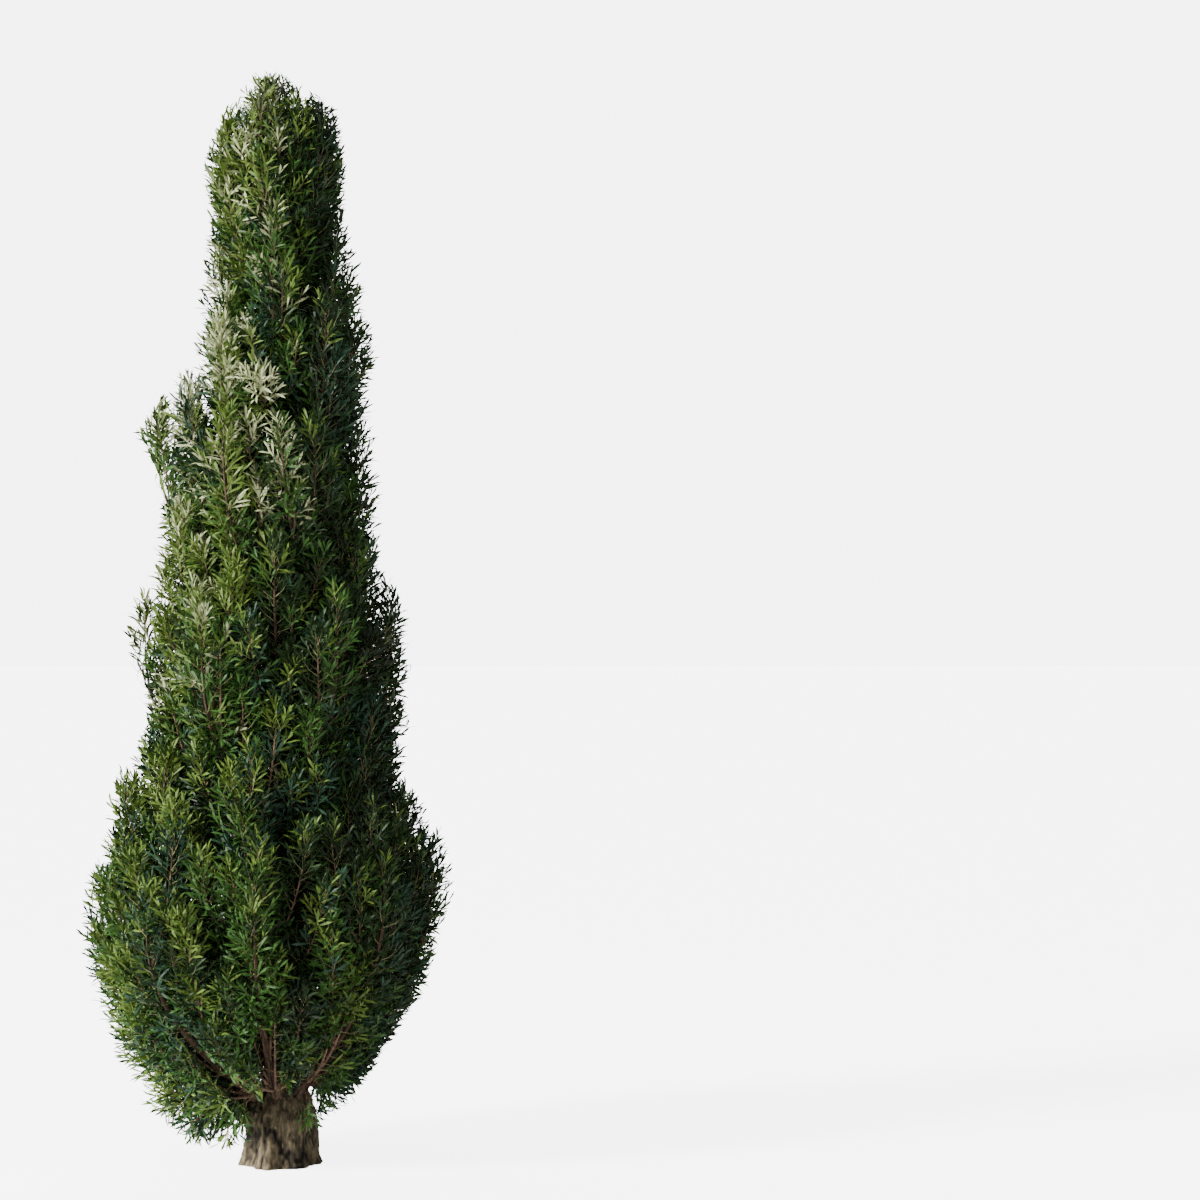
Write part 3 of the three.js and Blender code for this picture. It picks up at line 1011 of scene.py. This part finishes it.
@dataclass
class ShootRule:
    """How shoots leave the limbs and come out all over the crown's outline."""

    growth: Growth
    chance: np.random.Generator
    steps: int = 10
    lengths: Pair = (0.36, 0.5)
    main_length: float = 0.5
    main_over: float = 0.045
    swing: Triple = (0.8, 0.8, 0.32)
    lowest: float = 0.07
    rise_to_right: float = 0.08
    height_spread: float = 0.03
    turn_spread: float = 0.12
    inset_spread: float = 0.03
    least_reach: float = 0.02
    gap_lift: float = 0.08

    def tone(self, tip: Array) -> Tone:
        """Deals a tone to the shoot with a certain tip, darker on the crown's right and lighter on its
        left as painted shade and light.
        """
        shares = SHOOT_DEAL.at(self.growth.crown, tip)
        return list(Tone)[self.chance.choice(len(Tone), p=shares)]

    def bend(self, foot: Array, tip: Array) -> Array:
        """Draws a stem that first goes outwards and then rises.

        Args:
            foot: where it leaves the limb.
            tip: where it ends.

        Returns:
            The points of its line.
        """
        swing = foot + (tip - foot) * np.array(self.swing)
        share = np.linspace(0.0, 1.0, self.steps)[:, None]
        return (1 - share) ** 2 * foot + 2 * (1 - share) * share * swing + share**2 * tip

    def main(self, plume: Plume) -> Shoot:
        """Grows the shoot at the end of a plume's own limb.

        Args:
            plume: the plume.

        Returns:
            The shoot.
        """
        share = max(plume.tier.bare, 1.0 - self.main_length / plume.line.lengths[-1])
        stem = plume.line.at(np.linspace(share, 1.0, self.steps - 1))
        tip = stem[-1] + 0.5 * SPRAY_LENGTH * plume.line.end_direction()
        return Shoot(np.vstack([stem, tip]), plume, plume.outward, self.tone(tip), over=self.main_over)

    def tips(self, layer: Layer) -> Array:
        """Spreads tips evenly over the crown in a spiral.

        Args:
            layer: the layer that they belong to.

        Returns:
            The tips' places, one in each row.
        """
        count = layer.value.count
        rows = np.linspace(*layer.value.heights, 400)
        girth = self.growth.crown.reach(rows, 0.0 * rows)
        area = np.concatenate([[0.0], np.cumsum((girth[1:] + girth[:-1]) / 2.0)])
        heights = np.interp((np.arange(count) + 0.5) / count * area[-1], area, rows)
        heights = heights + self.chance.uniform(-self.height_spread, self.height_spread, count)
        stray = self.chance.uniform(-self.turn_spread, self.turn_spread, count)
        turns = np.arange(count) * GOLDEN_TURN + stray + layer.value.first_turn
        rightness = np.cos(turns)
        heights = np.maximum(heights, self.lowest + self.rise_to_right * (1.0 + rightness) / 2.0)
        inset = layer.value.inset * np.clip((TREE_HEIGHT - heights) / 0.5, 0.3, 1.0)
        reach = self.growth.crown.reach(heights, rightness) - inset
        reach = np.maximum(reach - self.inset_spread * self.chance.random(count) ** 2, self.least_reach)
        return np.stack([reach * rightness, reach * np.sin(turns), heights], -1)

    def other(self, tip: Array, layer: Layer) -> Shoot:
        """Grows a shoot to its tip from the limb in whose space the tip lies.

        Args:
            tip: the place of its tip.
            layer: the layer that it belongs to.

        Returns:
            The shoot.
        """
        near = [float(self.growth.nearness(plume, tip)) for plume in self.growth.plumes]
        plume = self.growth.plumes[int(np.argmin(near))]
        length = mix(self.lengths, self.chance.random())
        low = plume.start[2] if plume.tier.bare else plume.samples[0][2]
        height = float(np.clip(tip[2] - 0.88 * length, low - 0.02, plume.heights[1] - 0.1))
        line = plume.line.at(np.linspace(0.7 * plume.tier.bare, 1.0, 60))
        foot = line[int(np.abs(line[:, 2] - height).argmin())]
        outward = unit(tip * (1.0, 1.0, 0.0))
        tone = self.tone(tip)
        return Shoot(self.bend(foot, tip), plume, outward, tone, layer.value.leaves, layer.value.over)

    def all(self) -> list[Shoot]:
        """Grows the shoots of the whole crown, and more where the outer ones leave it open.

        Returns:
            The shoots.
        """
        shoots = [self.main(plume) for plume in self.growth.plumes]
        for layer in (Layer.OUTER, Layer.LOWEST, Layer.TOP, Layer.INNER, Layer.DEEP):
            ends = np.array([shoot.line[-1] for shoot in shoots])
            for tip in self.tips(layer):
                if np.linalg.norm(ends - tip, axis=1).min() > layer.value.apart:
                    shoots.append(self.other(tip, layer))
        for place in self.tips(Layer.GAPS):
            outer = [shoot for shoot in shoots if shoot.leaves is SMALL_LEAVES]
            leafy = np.vstack([shoot.line[-self.steps // 2 :] for shoot in outer])
            if np.linalg.norm(leafy - place, axis=1).min() > Layer.GAPS.value.apart:
                shoots.append(self.other(place + self.gap_lift * UP, Layer.GAPS))
        return shoots


@dataclass
class Twigs:
    """The twigs of one shoot, as arrays with one twig in each row."""

    roots: Array
    bends: Array
    tips: Array
    across: Array
    tones: Array


@dataclass
class TwigRule:
    """How twigs stand round a shoot and rise from it.

    Their lengths and slants (in degrees) are given at some places on the shoot, from 0 to 1. Those that
    face outwards, below its top, are thinned out, so that the shoot shows between them.
    """

    growth: Growth
    chance: np.random.Generator
    spacing: float = 0.0075
    leafy: float = 0.46
    fewest: int = 8
    length: float = 0.076
    places: tuple[float, ...] = (0.0, 0.25, 0.72, 1.0)
    lengths: tuple[float, ...] = (0.65, 1.0, 1.0, 0.7)
    slants: tuple[float, ...] = (70.0, 62.0, 52.0, 18.0)
    length_spread: Pair = (0.8, 1.15)
    slant_spread: float = 0.16
    turn_spread: float = 0.35
    roll: float = 0.7
    shorter: tuple[float, ...] = (1.0, 0.75, 0.5)
    stray: float = 0.09
    lowest: float = 0.06
    below_top: float = 0.012
    outwards: float = 0.72
    shoot_top: float = 0.8
    thinned: float = 0.55
    shade_depths: Pair = (0.1, 0.15)

    def tones(self, shoot: Shoot, share: Array, depth: Array) -> Array:
        """Deals a tone to each twig of a shoot, with painted light on tips at the crown's lit left and
        painted shade deep inside it.

        Args:
            shoot: the shoot, whose own tone most of them take.
            share: where they stand on it, from 0 to 1.
            depth: how deep they lie in the crown.

        Returns:
            The tones' places.
        """
        crown, tip, count = self.growth.crown, shoot.line[-1], len(share)
        dealt = np.full(count, shoot.tone.place)
        other = self.chance.choice(len(Tone), count, p=TWIG_DEAL.at(crown, tip))
        mixed = 0.62 if shoot.tone is Tone.CREAM else 0.36
        dealt = np.where(self.chance.random(count) < mixed, other, dealt)
        # Painted light: lighter tips, most often on the crown's lit left and palest at its upper left;
        # their fresh and cream tones are partly the leaves' own colours.
        lighter = (share > 0.75) & (self.chance.random(count) < 0.06 + 0.42 * crown.lit_side_share(tip))
        lighter &= dealt < Tone.FRESH.place
        palest = self.chance.random(count) < 0.5 * crown.paleness(tip)
        dealt = np.where(lighter, np.where(palest, Tone.CREAM.place, Tone.FRESH.place), dealt)
        plain = (dealt > Tone.BLUISH.place) & (share < 0.5) & (self.chance.random(count) < 0.6)
        dealt = np.where(plain, Tone.GREEN.place, dealt)
        # Painted shade: twigs deep in the crown take the dark and shaded tones.
        dark = (depth > self.shade_depths[0]) & (self.chance.random(count) < 0.6)
        dealt = np.where(dark, Tone.DARK.place, dealt)
        return np.where(depth > self.shade_depths[1], Tone.SHADED.place, dealt)

    def on(self, shoot: Shoot) -> Twigs:
        """Grows the twigs of one shoot.

        Args:
            shoot: the shoot.

        Returns:
            Its twigs that keep to the crown and to their plume's space, shorter where they must be.
        """
        leafy = min(self.leafy, 0.92 * shoot.length)
        count = max(self.fewest, round(leafy / self.spacing))
        share = (np.arange(count) + 0.5) / count
        steps = np.linalg.norm(np.diff(shoot.line, axis=0), axis=1)
        lengths = np.concatenate([[0.0], np.cumsum(steps)])
        place = lengths[-1] - leafy * (1.0 - share)
        roots = interpolated(place, lengths, shoot.line)
        along = unit(interpolated(place, lengths, unit(np.gradient(shoot.line, axis=0))))
        side = unit(np.cross(along, np.array([0.31, 0.95, 0.05])))
        stray = self.chance.uniform(-self.turn_spread, self.turn_spread, count)
        off = turned(side, along, np.arange(count) * GOLDEN_TURN + stray)
        length = self.length * np.interp(share, self.places, self.lengths)
        length = length * self.chance.uniform(*self.length_spread, count)
        stray = self.chance.uniform(-self.slant_spread, self.slant_spread, count)
        slant = np.radians(np.interp(share, self.places, self.slants)) + stray
        first = leaning(along, off, slant)
        second = unit(first + 0.3 * along + 0.2 * UP)
        facing = (off * shoot.outward).sum(-1)
        thinned = (facing > self.outwards) & (share < self.shoot_top)
        thinned &= self.chance.random(count) < self.thinned
        fits = np.zeros(count, bool)
        bends, tips = roots.copy(), roots.copy()
        for shorter in self.shorter:
            half = (0.5 * shorter * length)[:, None]
            bend = roots + first * half
            tip = bend + second * half
            good = (tip[:, 2] > self.lowest) & (tip[:, 2] < TREE_HEIGHT - self.below_top)
            good &= self.growth.crown.depth(tip) > -shoot.over
            good &= self.growth.in_space(shoot.plume, tip, -self.stray)
            good &= ~self.growth.before_limb(tip) & ~self.growth.before_limb(bend)
            good &= np.abs(tip[:, 1]) < HALF_DEPTH
            fresh = good & ~fits
            bends[fresh], tips[fresh] = bend[fresh], tip[fresh]
            fits |= good
        fits &= ~thinned
        roll = self.chance.uniform(-self.roll, self.roll, count)
        across = turned(unit(np.cross(first, off)), first, roll)
        tones = self.tones(shoot, share, self.growth.crown.depth(tips))
        return Twigs(roots[fits], bends[fits], tips[fits], across[fits], tones[fits])


@dataclass
class LeafShape:
    """One narrow strap-shaped leaf, modelled once and copied to every place."""

    width: float = 0.14
    widths: Pair = (0.72, 1.12)
    straight: Pair = (0.26, 0.7)
    arch: Pair = (-0.03, -0.14)

    def model(self) -> tuple[Array, Array]:
        """Models the leaf from a plane.

        Returns:
            Its points, one long along +Y from its root, and its triangles.
        """
        low, high = self.straight
        middle = (0.0, 0.0, 0.0)
        bpy.ops.object.select_all(action="DESELECT")
        bpy.ops.mesh.primitive_plane_add(size=1.0)
        piece = bpy.context.object
        bpy.ops.object.mode_set(mode="EDIT")
        bpy.ops.transform.resize(value=(self.width, high - low, 1.0), center_override=middle)
        bpy.ops.transform.translate(value=(0.0, (low + high) / 2.0, 0.0))
        for edge, step in ((low, -low), (high, 1.0 - high)):
            self.select(piece, edge)
            bpy.ops.mesh.extrude_region_move(TRANSFORM_OT_translate={"value": (0.0, step, 0.0)})
            bpy.ops.mesh.merge(type="CENTER")
        self.select(piece, high)
        bpy.ops.transform.translate(value=(0.0, 0.0, self.arch[0]))
        bpy.ops.transform.resize(value=(self.widths[1], 1.0, 1.0), center_override=middle)
        self.select(piece, low)
        bpy.ops.transform.resize(value=(self.widths[0], 1.0, 1.0), center_override=middle)
        self.select(piece, 1.0)
        bpy.ops.transform.translate(value=(0.0, 0.0, self.arch[1]))
        bpy.ops.mesh.select_all(action="SELECT")
        bpy.ops.mesh.quads_convert_to_tris()
        bpy.ops.mesh.normals_make_consistent(inside=False)
        bpy.ops.object.mode_set(mode="OBJECT")
        points = np.array([vertex.co for vertex in piece.data.vertices])
        faces = np.array([list(face.vertices) for face in piece.data.polygons])
        bpy.data.objects.remove(piece)
        return points, faces

    @staticmethod
    def select(piece: Piece, place: float) -> None:
        """Selects the points at one distance from the leaf's root.

        Args:
            piece: the leaf, in edit mode.
            place: the distance.
        """
        bpy.ops.mesh.select_mode(type="EDGE")
        bpy.ops.mesh.select_all(action="DESELECT")
        bpy.ops.mesh.select_mode(type="VERT")
        bpy.ops.object.mode_set(mode="OBJECT")
        for vertex in piece.data.vertices:
            vertex.select = abs(vertex.co.y - place) < 0.01
        bpy.ops.object.mode_set(mode="EDIT")


@dataclass
class LeafRule:
    """How leaves stand in a spiral along a twig.

    The lowest leaves are at one height on the crown's left and another on its right. Slants are in
    degrees, at the twig's root and its tip.
    """

    growth: Growth
    chance: np.random.Generator
    shape: tuple[Array, Array]
    lowest: Pair = (0.04, 0.125)
    slants: Pair = (56.0, 24.0)
    over: float = 0.022
    off_trunk: float = 0.004
    turn_spread: float = 0.4
    slant_spread: float = 0.2
    size_spread: Pair = (0.82, 1.15)
    roll: float = 0.7

    def on(self, twigs: Twigs, leaves: Leaves) -> tuple[Array, Array, Array]:
        """Sets the leaves on twigs.

        Args:
            twigs: the twigs.
            leaves: the number and length of the leaves on each of them.

        Returns:
            The leaves' points, their triangles and the tone of each triangle.
        """
        rows = len(twigs.roots)
        number = np.arange(leaves.count)
        share = 0.1 + 0.9 * number / (leaves.count - 1.0)
        lower = share[None, :, None] * 2.0
        first = twigs.roots[:, None] + (twigs.bends - twigs.roots)[:, None] * np.minimum(lower, 1.0)
        place = first + (twigs.tips - twigs.bends)[:, None] * np.maximum(lower - 1.0, 0.0)
        before = unit(twigs.bends - twigs.roots)[:, None]
        after = unit(twigs.tips - twigs.bends)[:, None]
        along = unit(before + (after - before) * share[None, :, None])
        across = unit(square_to(np.broadcast_to(twigs.across[:, None], along.shape), along))
        stray = self.chance.uniform(-self.turn_spread, self.turn_spread, (rows, leaves.count))
        off = turned(across, along, number[None] * GOLDEN_TURN + stray)
        stray = self.chance.uniform(-self.slant_spread, self.slant_spread, (rows, leaves.count))
        slant = np.radians(np.interp(share, (0.0, 1.0), self.slants))[None] + stray
        slant[:, -1] *= 0.2
        direction = leaning(along, off, slant)
        size = (1.06 - 0.3 * share)[None] * self.chance.uniform(*self.size_spread, (rows, leaves.count))
        size = size * leaves.length
        tips = place + direction * size[..., None]
        fits = (self.growth.crown.depth(tips) > -self.over) & (tips[..., 2] < TREE_HEIGHT)
        rightness = tips[..., 0] / np.maximum(np.linalg.norm(tips[..., :2], axis=-1), 1e-9)
        fits &= tips[..., 2] > np.interp(rightness, (-1.0, 1.0), self.lowest)
        fits &= self.growth.trunk.clear_of(tips, self.off_trunk) & (np.abs(tips[..., 1]) < HALF_DEPTH)
        fits &= ~self.growth.before_limb(tips) & ~self.growth.before_limb((place + tips) / 2.0)
        normal = unit(square_to(along, direction) + 0.02 * across)
        place, direction, normal, size = place[fits], direction[fits], normal[fits], size[fits]
        normal = turned(normal, direction, self.chance.uniform(-self.roll, self.roll, len(size)))
        normal = unit(square_to(normal, direction))
        flat = np.cross(direction, normal)
        shape_points, shape_faces = self.shape
        x, y, z = (shape_points[None, :, axis, None] for axis in range(3))
        blades = flat[:, None] * x + direction[:, None] * y + normal[:, None] * z
        points = place[:, None] + blades * size[:, None, None]
        faces = shape_faces[None] + np.arange(len(size))[:, None, None] * len(shape_points)
        tones = np.broadcast_to(twigs.tones[:, None], fits.shape)[fits]
        return points.reshape(-1, 3), faces.reshape(-1, 3), np.repeat(tones, len(shape_faces))


def twig_sticks(twigs: Twigs, radius: float) -> tuple[Array, Array]:
    """Makes a three-sided stick along every twig.

    Args:
        twigs: the twigs.
        radius: the radius at their roots.

    Returns:
        The sticks' points and triangles.
    """
    along = unit(twigs.tips - twigs.roots)
    front = unit(np.cross(along, twigs.across))
    ring = spokes(np.cross(front, along), front, 3)
    low = twigs.roots[:, None] + ring * radius
    middle = twigs.bends[:, None] + ring * radius * 0.7
    points = np.concatenate([low, middle, twigs.tips[:, None]], 1)
    faces = []
    for corner in range(3):
        after = (corner + 1) % 3
        faces.append((corner, after, 3 + after))
        faces.append((corner, 3 + after, 3 + corner))
        faces.append((3 + corner, 3 + after, 6))
    faces.append((0, 2, 1))
    base = np.arange(len(along))[:, None, None] * 7
    return points.reshape(-1, 3), (np.array(faces)[None] + base).reshape(-1, 3)


@dataclass
class Foliage:
    """The limbs, shoots, twigs and leaves of the whole crown, with the limbs' thickness in millimetres."""

    growth: Growth
    mottle: MottleGroup
    thinnest_bough: float = 12.0
    limb_tip: float = 2.0
    limb_sides: int = 12
    limb_rows: int = 36
    ridge_height: float = 0.22
    shoot_sides: int = 6
    shoot_relief: float = 0.6
    twig_radius: float = 0.0011
    fewest_twigs: int = 10

    def limb_bark(self, line: Array, radii: Array) -> tuple[Array, Array, Array]:
        """Makes a limb whose bark stands up in small ridges, with painted shade between them from its
        finish.

        Args:
            line: its middle line.
            radii: its radius along the line.

        Returns:
            Its points, its triangles and the relief at each point.
        """
        points, faces = tube(line, radii, self.limb_sides)
        turns = np.tile(np.arange(self.limb_sides), len(line))
        rows = np.repeat(np.arange(len(line)), self.limb_sides)
        ridge = 0.5 + 0.5 * np.sin(turns * 2.4 + 0.9 * np.sin(rows * 0.8) + 0.6 * rows)
        relief = np.concatenate([ridge, [0.5, 0.5]])
        out = np.zeros_like(points)
        out[: len(rows)] = points[: len(rows)] - line[rows]
        return points + out * ((relief - 0.5) * self.ridge_height)[:, None], faces, relief

    def build_limbs(self, boughs: bool) -> Piece:
        """Makes the limbs from the trunk to their tips.

        Args:
            boughs: whether to make the thick limbs that have boughs, or the others.

        Returns:
            The dressed limbs.
        """
        arrays = MeshArrays()
        for plume in self.growth.plumes:
            if (plume.tier.bough > self.thinnest_bough) != boughs:
                continue
            line = plume.line.at(np.linspace(0.0, 1.0, self.limb_rows))
            if plume.tier is not LEADER:
                line = line[self.growth.trunk.clear_of(line, -0.006)]
            share = np.linspace(0.0, 1.0, len(line))
            radii = (plume.tier.bough * (1.0 - share) + self.limb_tip * share) * MM
            points, faces, relief = self.limb_bark(line, radii)
            arrays.add(points, faces)
            arrays.relief.append(relief)
        name = "boughs" if boughs else "stems"
        piece = arrays.build(name, [LIMB_BARK.material(self.mottle)], smooth=True)
        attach(piece, "root")
        if boughs:
            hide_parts(*[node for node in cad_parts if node.startswith("bough")])
        return piece

    def build(self) -> None:
        """Makes the shoots, twigs and leaves, joined by kind and by tier."""
        chance = np.random.default_rng(SEED)
        twig_rule = TwigRule(self.growth, chance)
        leaf_rule = LeafRule(self.growth, chance, LeafShape().model())
        leaf_materials = [tone.value.material() for tone in Tone]
        shoots = ShootRule(self.growth, chance).all()
        sticks = MeshArrays()
        stems = MeshArrays()
        for tier in (*TIERS, LEADER):
            for part in range(tier.pieces):
                numbers = range(1 + part, tier.count + 1, tier.pieces)
                own = [shoot for shoot in shoots if shoot.plume.tier is tier]
                own = [shoot for shoot in own if shoot.plume.number in numbers]
                leaves = MeshArrays()
                for shoot in own:
                    twigs = twig_rule.on(shoot)
                    if len(twigs.roots) < self.fewest_twigs:
                        continue
                    radii = np.linspace(*shoot.radii, len(shoot.line))
                    points, faces = tube(shoot.line, radii, self.shoot_sides)
                    stems.add(points, faces)
                    stems.relief.append(np.full(len(points), self.shoot_relief))
                    sticks.add(*twig_sticks(twigs, self.twig_radius))
                    leaves.add(*leaf_rule.on(twigs, shoot.leaves))
                name = f"leaves_{tier.name}_{part + 1}" if tier.pieces > 1 else "leaves_" + tier.name
                piece = leaves.build(name, leaf_materials, smooth=False)
                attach(piece, "root")
                foliage = "foliage_" + tier.name
                names = [foliage] if tier is LEADER else [f"{foliage}_{number}" for number in numbers]
                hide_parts(*names)
                report(piece)
        shoot_material = SHOOT_BARK.material(self.mottle)
        wood = (("twigs", sticks, TWIG_FINISH.material()), ("shoots", stems, shoot_material))
        for name, arrays, material in wood:
            piece = arrays.build(name, [material], smooth=False)
            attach(piece, "root")
            report(piece)


# Stage, light and camera


@dataclass(frozen=True)
class FloorFinish:
    """A pale matt floor that looks as bright as the sky behind it."""

    name: str = "floor_pale"
    colour: Triple = (0.94, 0.94, 0.94)
    roughness: float = 0.9
    gloss: float = 0.1
    glow: float = 5.3

    def material(self) -> Material:
        """Makes the material, with a glow that the camera alone sees and that lights nothing.

        Returns:
            The material.
        """
        material, shader = plain_material(self.name, self.roughness, self.gloss)
        set_sockets(shader, {"Base Color": (*self.colour, 1.0), "Emission Color": (1.0, 1.0, 1.0, 1.0)})
        rays = material.node_tree.nodes.new("ShaderNodeLightPath")
        glow = material.node_tree.nodes.new("ShaderNodeMath")
        glow.operation = "MULTIPLY"
        glow.inputs[1].default_value = self.glow
        links = ((rays, "Is Camera Ray", glow, 0), (glow, "Value", shader, "Emission Strength"))
        wire(material.node_tree, links)
        return material


@dataclass
class Stage:
    """A wide pale floor that the tree stands on."""

    width: float = 120.0

    def build(self) -> Piece:
        """Models the floor and dresses it.

        Returns:
            The floor.
        """
        bpy.ops.object.select_all(action="DESELECT")
        bpy.ops.mesh.primitive_plane_add(size=self.width, location=(0.0, 0.0, 0.0))
        piece = bpy.context.object
        piece.name = piece.data.name = "floor"
        piece.data.materials.append(FloorFinish().material())
        return piece


def hang(name: str, data: bpy.types.ID, place: tuple[float, ...], target: tuple[float, ...]) -> Piece:
    """Puts a light or a camera in the scene.

    Args:
        name: the name of its object.
        data: the light or the camera.
        place: where it stands.
        target: what it looks at.

    Returns:
        The new object.
    """
    piece = bpy.data.objects.new(name, data)
    piece.location = place
    piece.rotation_euler = (Vector(target) - Vector(place)).to_track_quat("-Z", "Y").to_euler()
    bpy.context.scene.collection.objects.link(piece)
    return piece


@dataclass(frozen=True)
class Sun:
    """The key light, which falls evenly and with soft shadows on the tree and all the floor."""

    name: str
    place: Triple
    target: Triple
    angle: float
    strength: float

    def build(self) -> None:
        """Makes the light."""
        data = bpy.data.lights.new(self.name, "SUN")
        data.angle = math.radians(self.angle)
        data.energy = self.strength
        hang(self.name, data, self.place, self.target)


@dataclass(frozen=True)
class Lamp:
    """A soft square lamp that looks at the tree."""

    name: str
    place: Triple
    target: Triple
    size: float
    power: float
    spread: float = 180.0

    def build(self) -> None:
        """Makes the lamp."""
        data = bpy.data.lights.new(self.name, "AREA")
        data.size = self.size
        data.energy = self.power
        data.spread = math.radians(self.spread)
        hang(self.name, data, self.place, self.target).visible_camera = False


@dataclass
class Studio:
    """The soft light and the camera of the portrait. The wall is the sky as the camera sees it."""

    lamps: tuple[Sun | Lamp, ...] = (
        Sun("key", (-6.0, -3.3, 4.6), (0.0, 0.0, 1.3), 11.0, 8.4),
        Lamp("fill", (4.8, -5.6, 2.6), (0.0, 0.0, 1.4), 3.5, 8.0),
        Lamp("top", (-1.0, 1.4, 6.0), (0.0, 0.0, 1.6), 3.0, 70.0),
        Lamp("low", (-2.4, -1.0, 0.16), (-0.12, 0.0, 0.06), 0.3, 3.0, 24.0),
    )
    sky: float = 0.46
    sky_colour: Triple = (0.95, 0.97, 1.0)
    wall: float = 7.6
    camera_place: Triple = (0.88, -8.0, 1.545)
    lens: float = 87.3

    def build(self) -> None:
        """Sets the lamps, the sky and the camera."""
        for lamp in self.lamps:
            lamp.build()
        world = bpy.data.worlds.new("studio")
        world.use_nodes = True
        nodes = world.node_tree.nodes
        light = nodes["Background"]
        set_sockets(light, {"Color": (*self.sky_colour, 1.0), "Strength": self.sky})
        wall = nodes.new("ShaderNodeBackground")
        set_sockets(wall, {"Strength": self.wall})
        rays = nodes.new("ShaderNodeLightPath")
        blend = nodes.new("ShaderNodeMixShader")
        links = (
            (rays, "Is Camera Ray", blend, "Fac"),
            (light, "Background", blend, 1),
            (wall, "Background", blend, 2),
            (blend, "Shader", nodes["World Output"], "Surface"),
        )
        wire(world.node_tree, links)
        bpy.context.scene.world = world
        data = bpy.data.cameras.new("camera")
        data.lens = self.lens
        data.sensor_width = 36.0
        x, y, z = self.camera_place
        bpy.context.scene.camera = hang("camera", data, (x, y, z), (x, 0.0, z))


def main() -> None:
    """Builds the tree, piece by piece, and then its stage and light."""
    logging.basicConfig(level=logging.INFO, format="%(name)s %(message)s")
    trunk = Trunk()
    mottle = MottleGroup()
    growth = Growth(trunk, Crown())
    growth.grow()
    report(trunk.build(mottle))
    foliage = Foliage(growth, mottle)
    for boughs in (True, False):
        report(foliage.build_limbs(boughs))
    foliage.build()
    report(Stage().build())
    Studio().build()


if __name__ == "__main__":
    main()
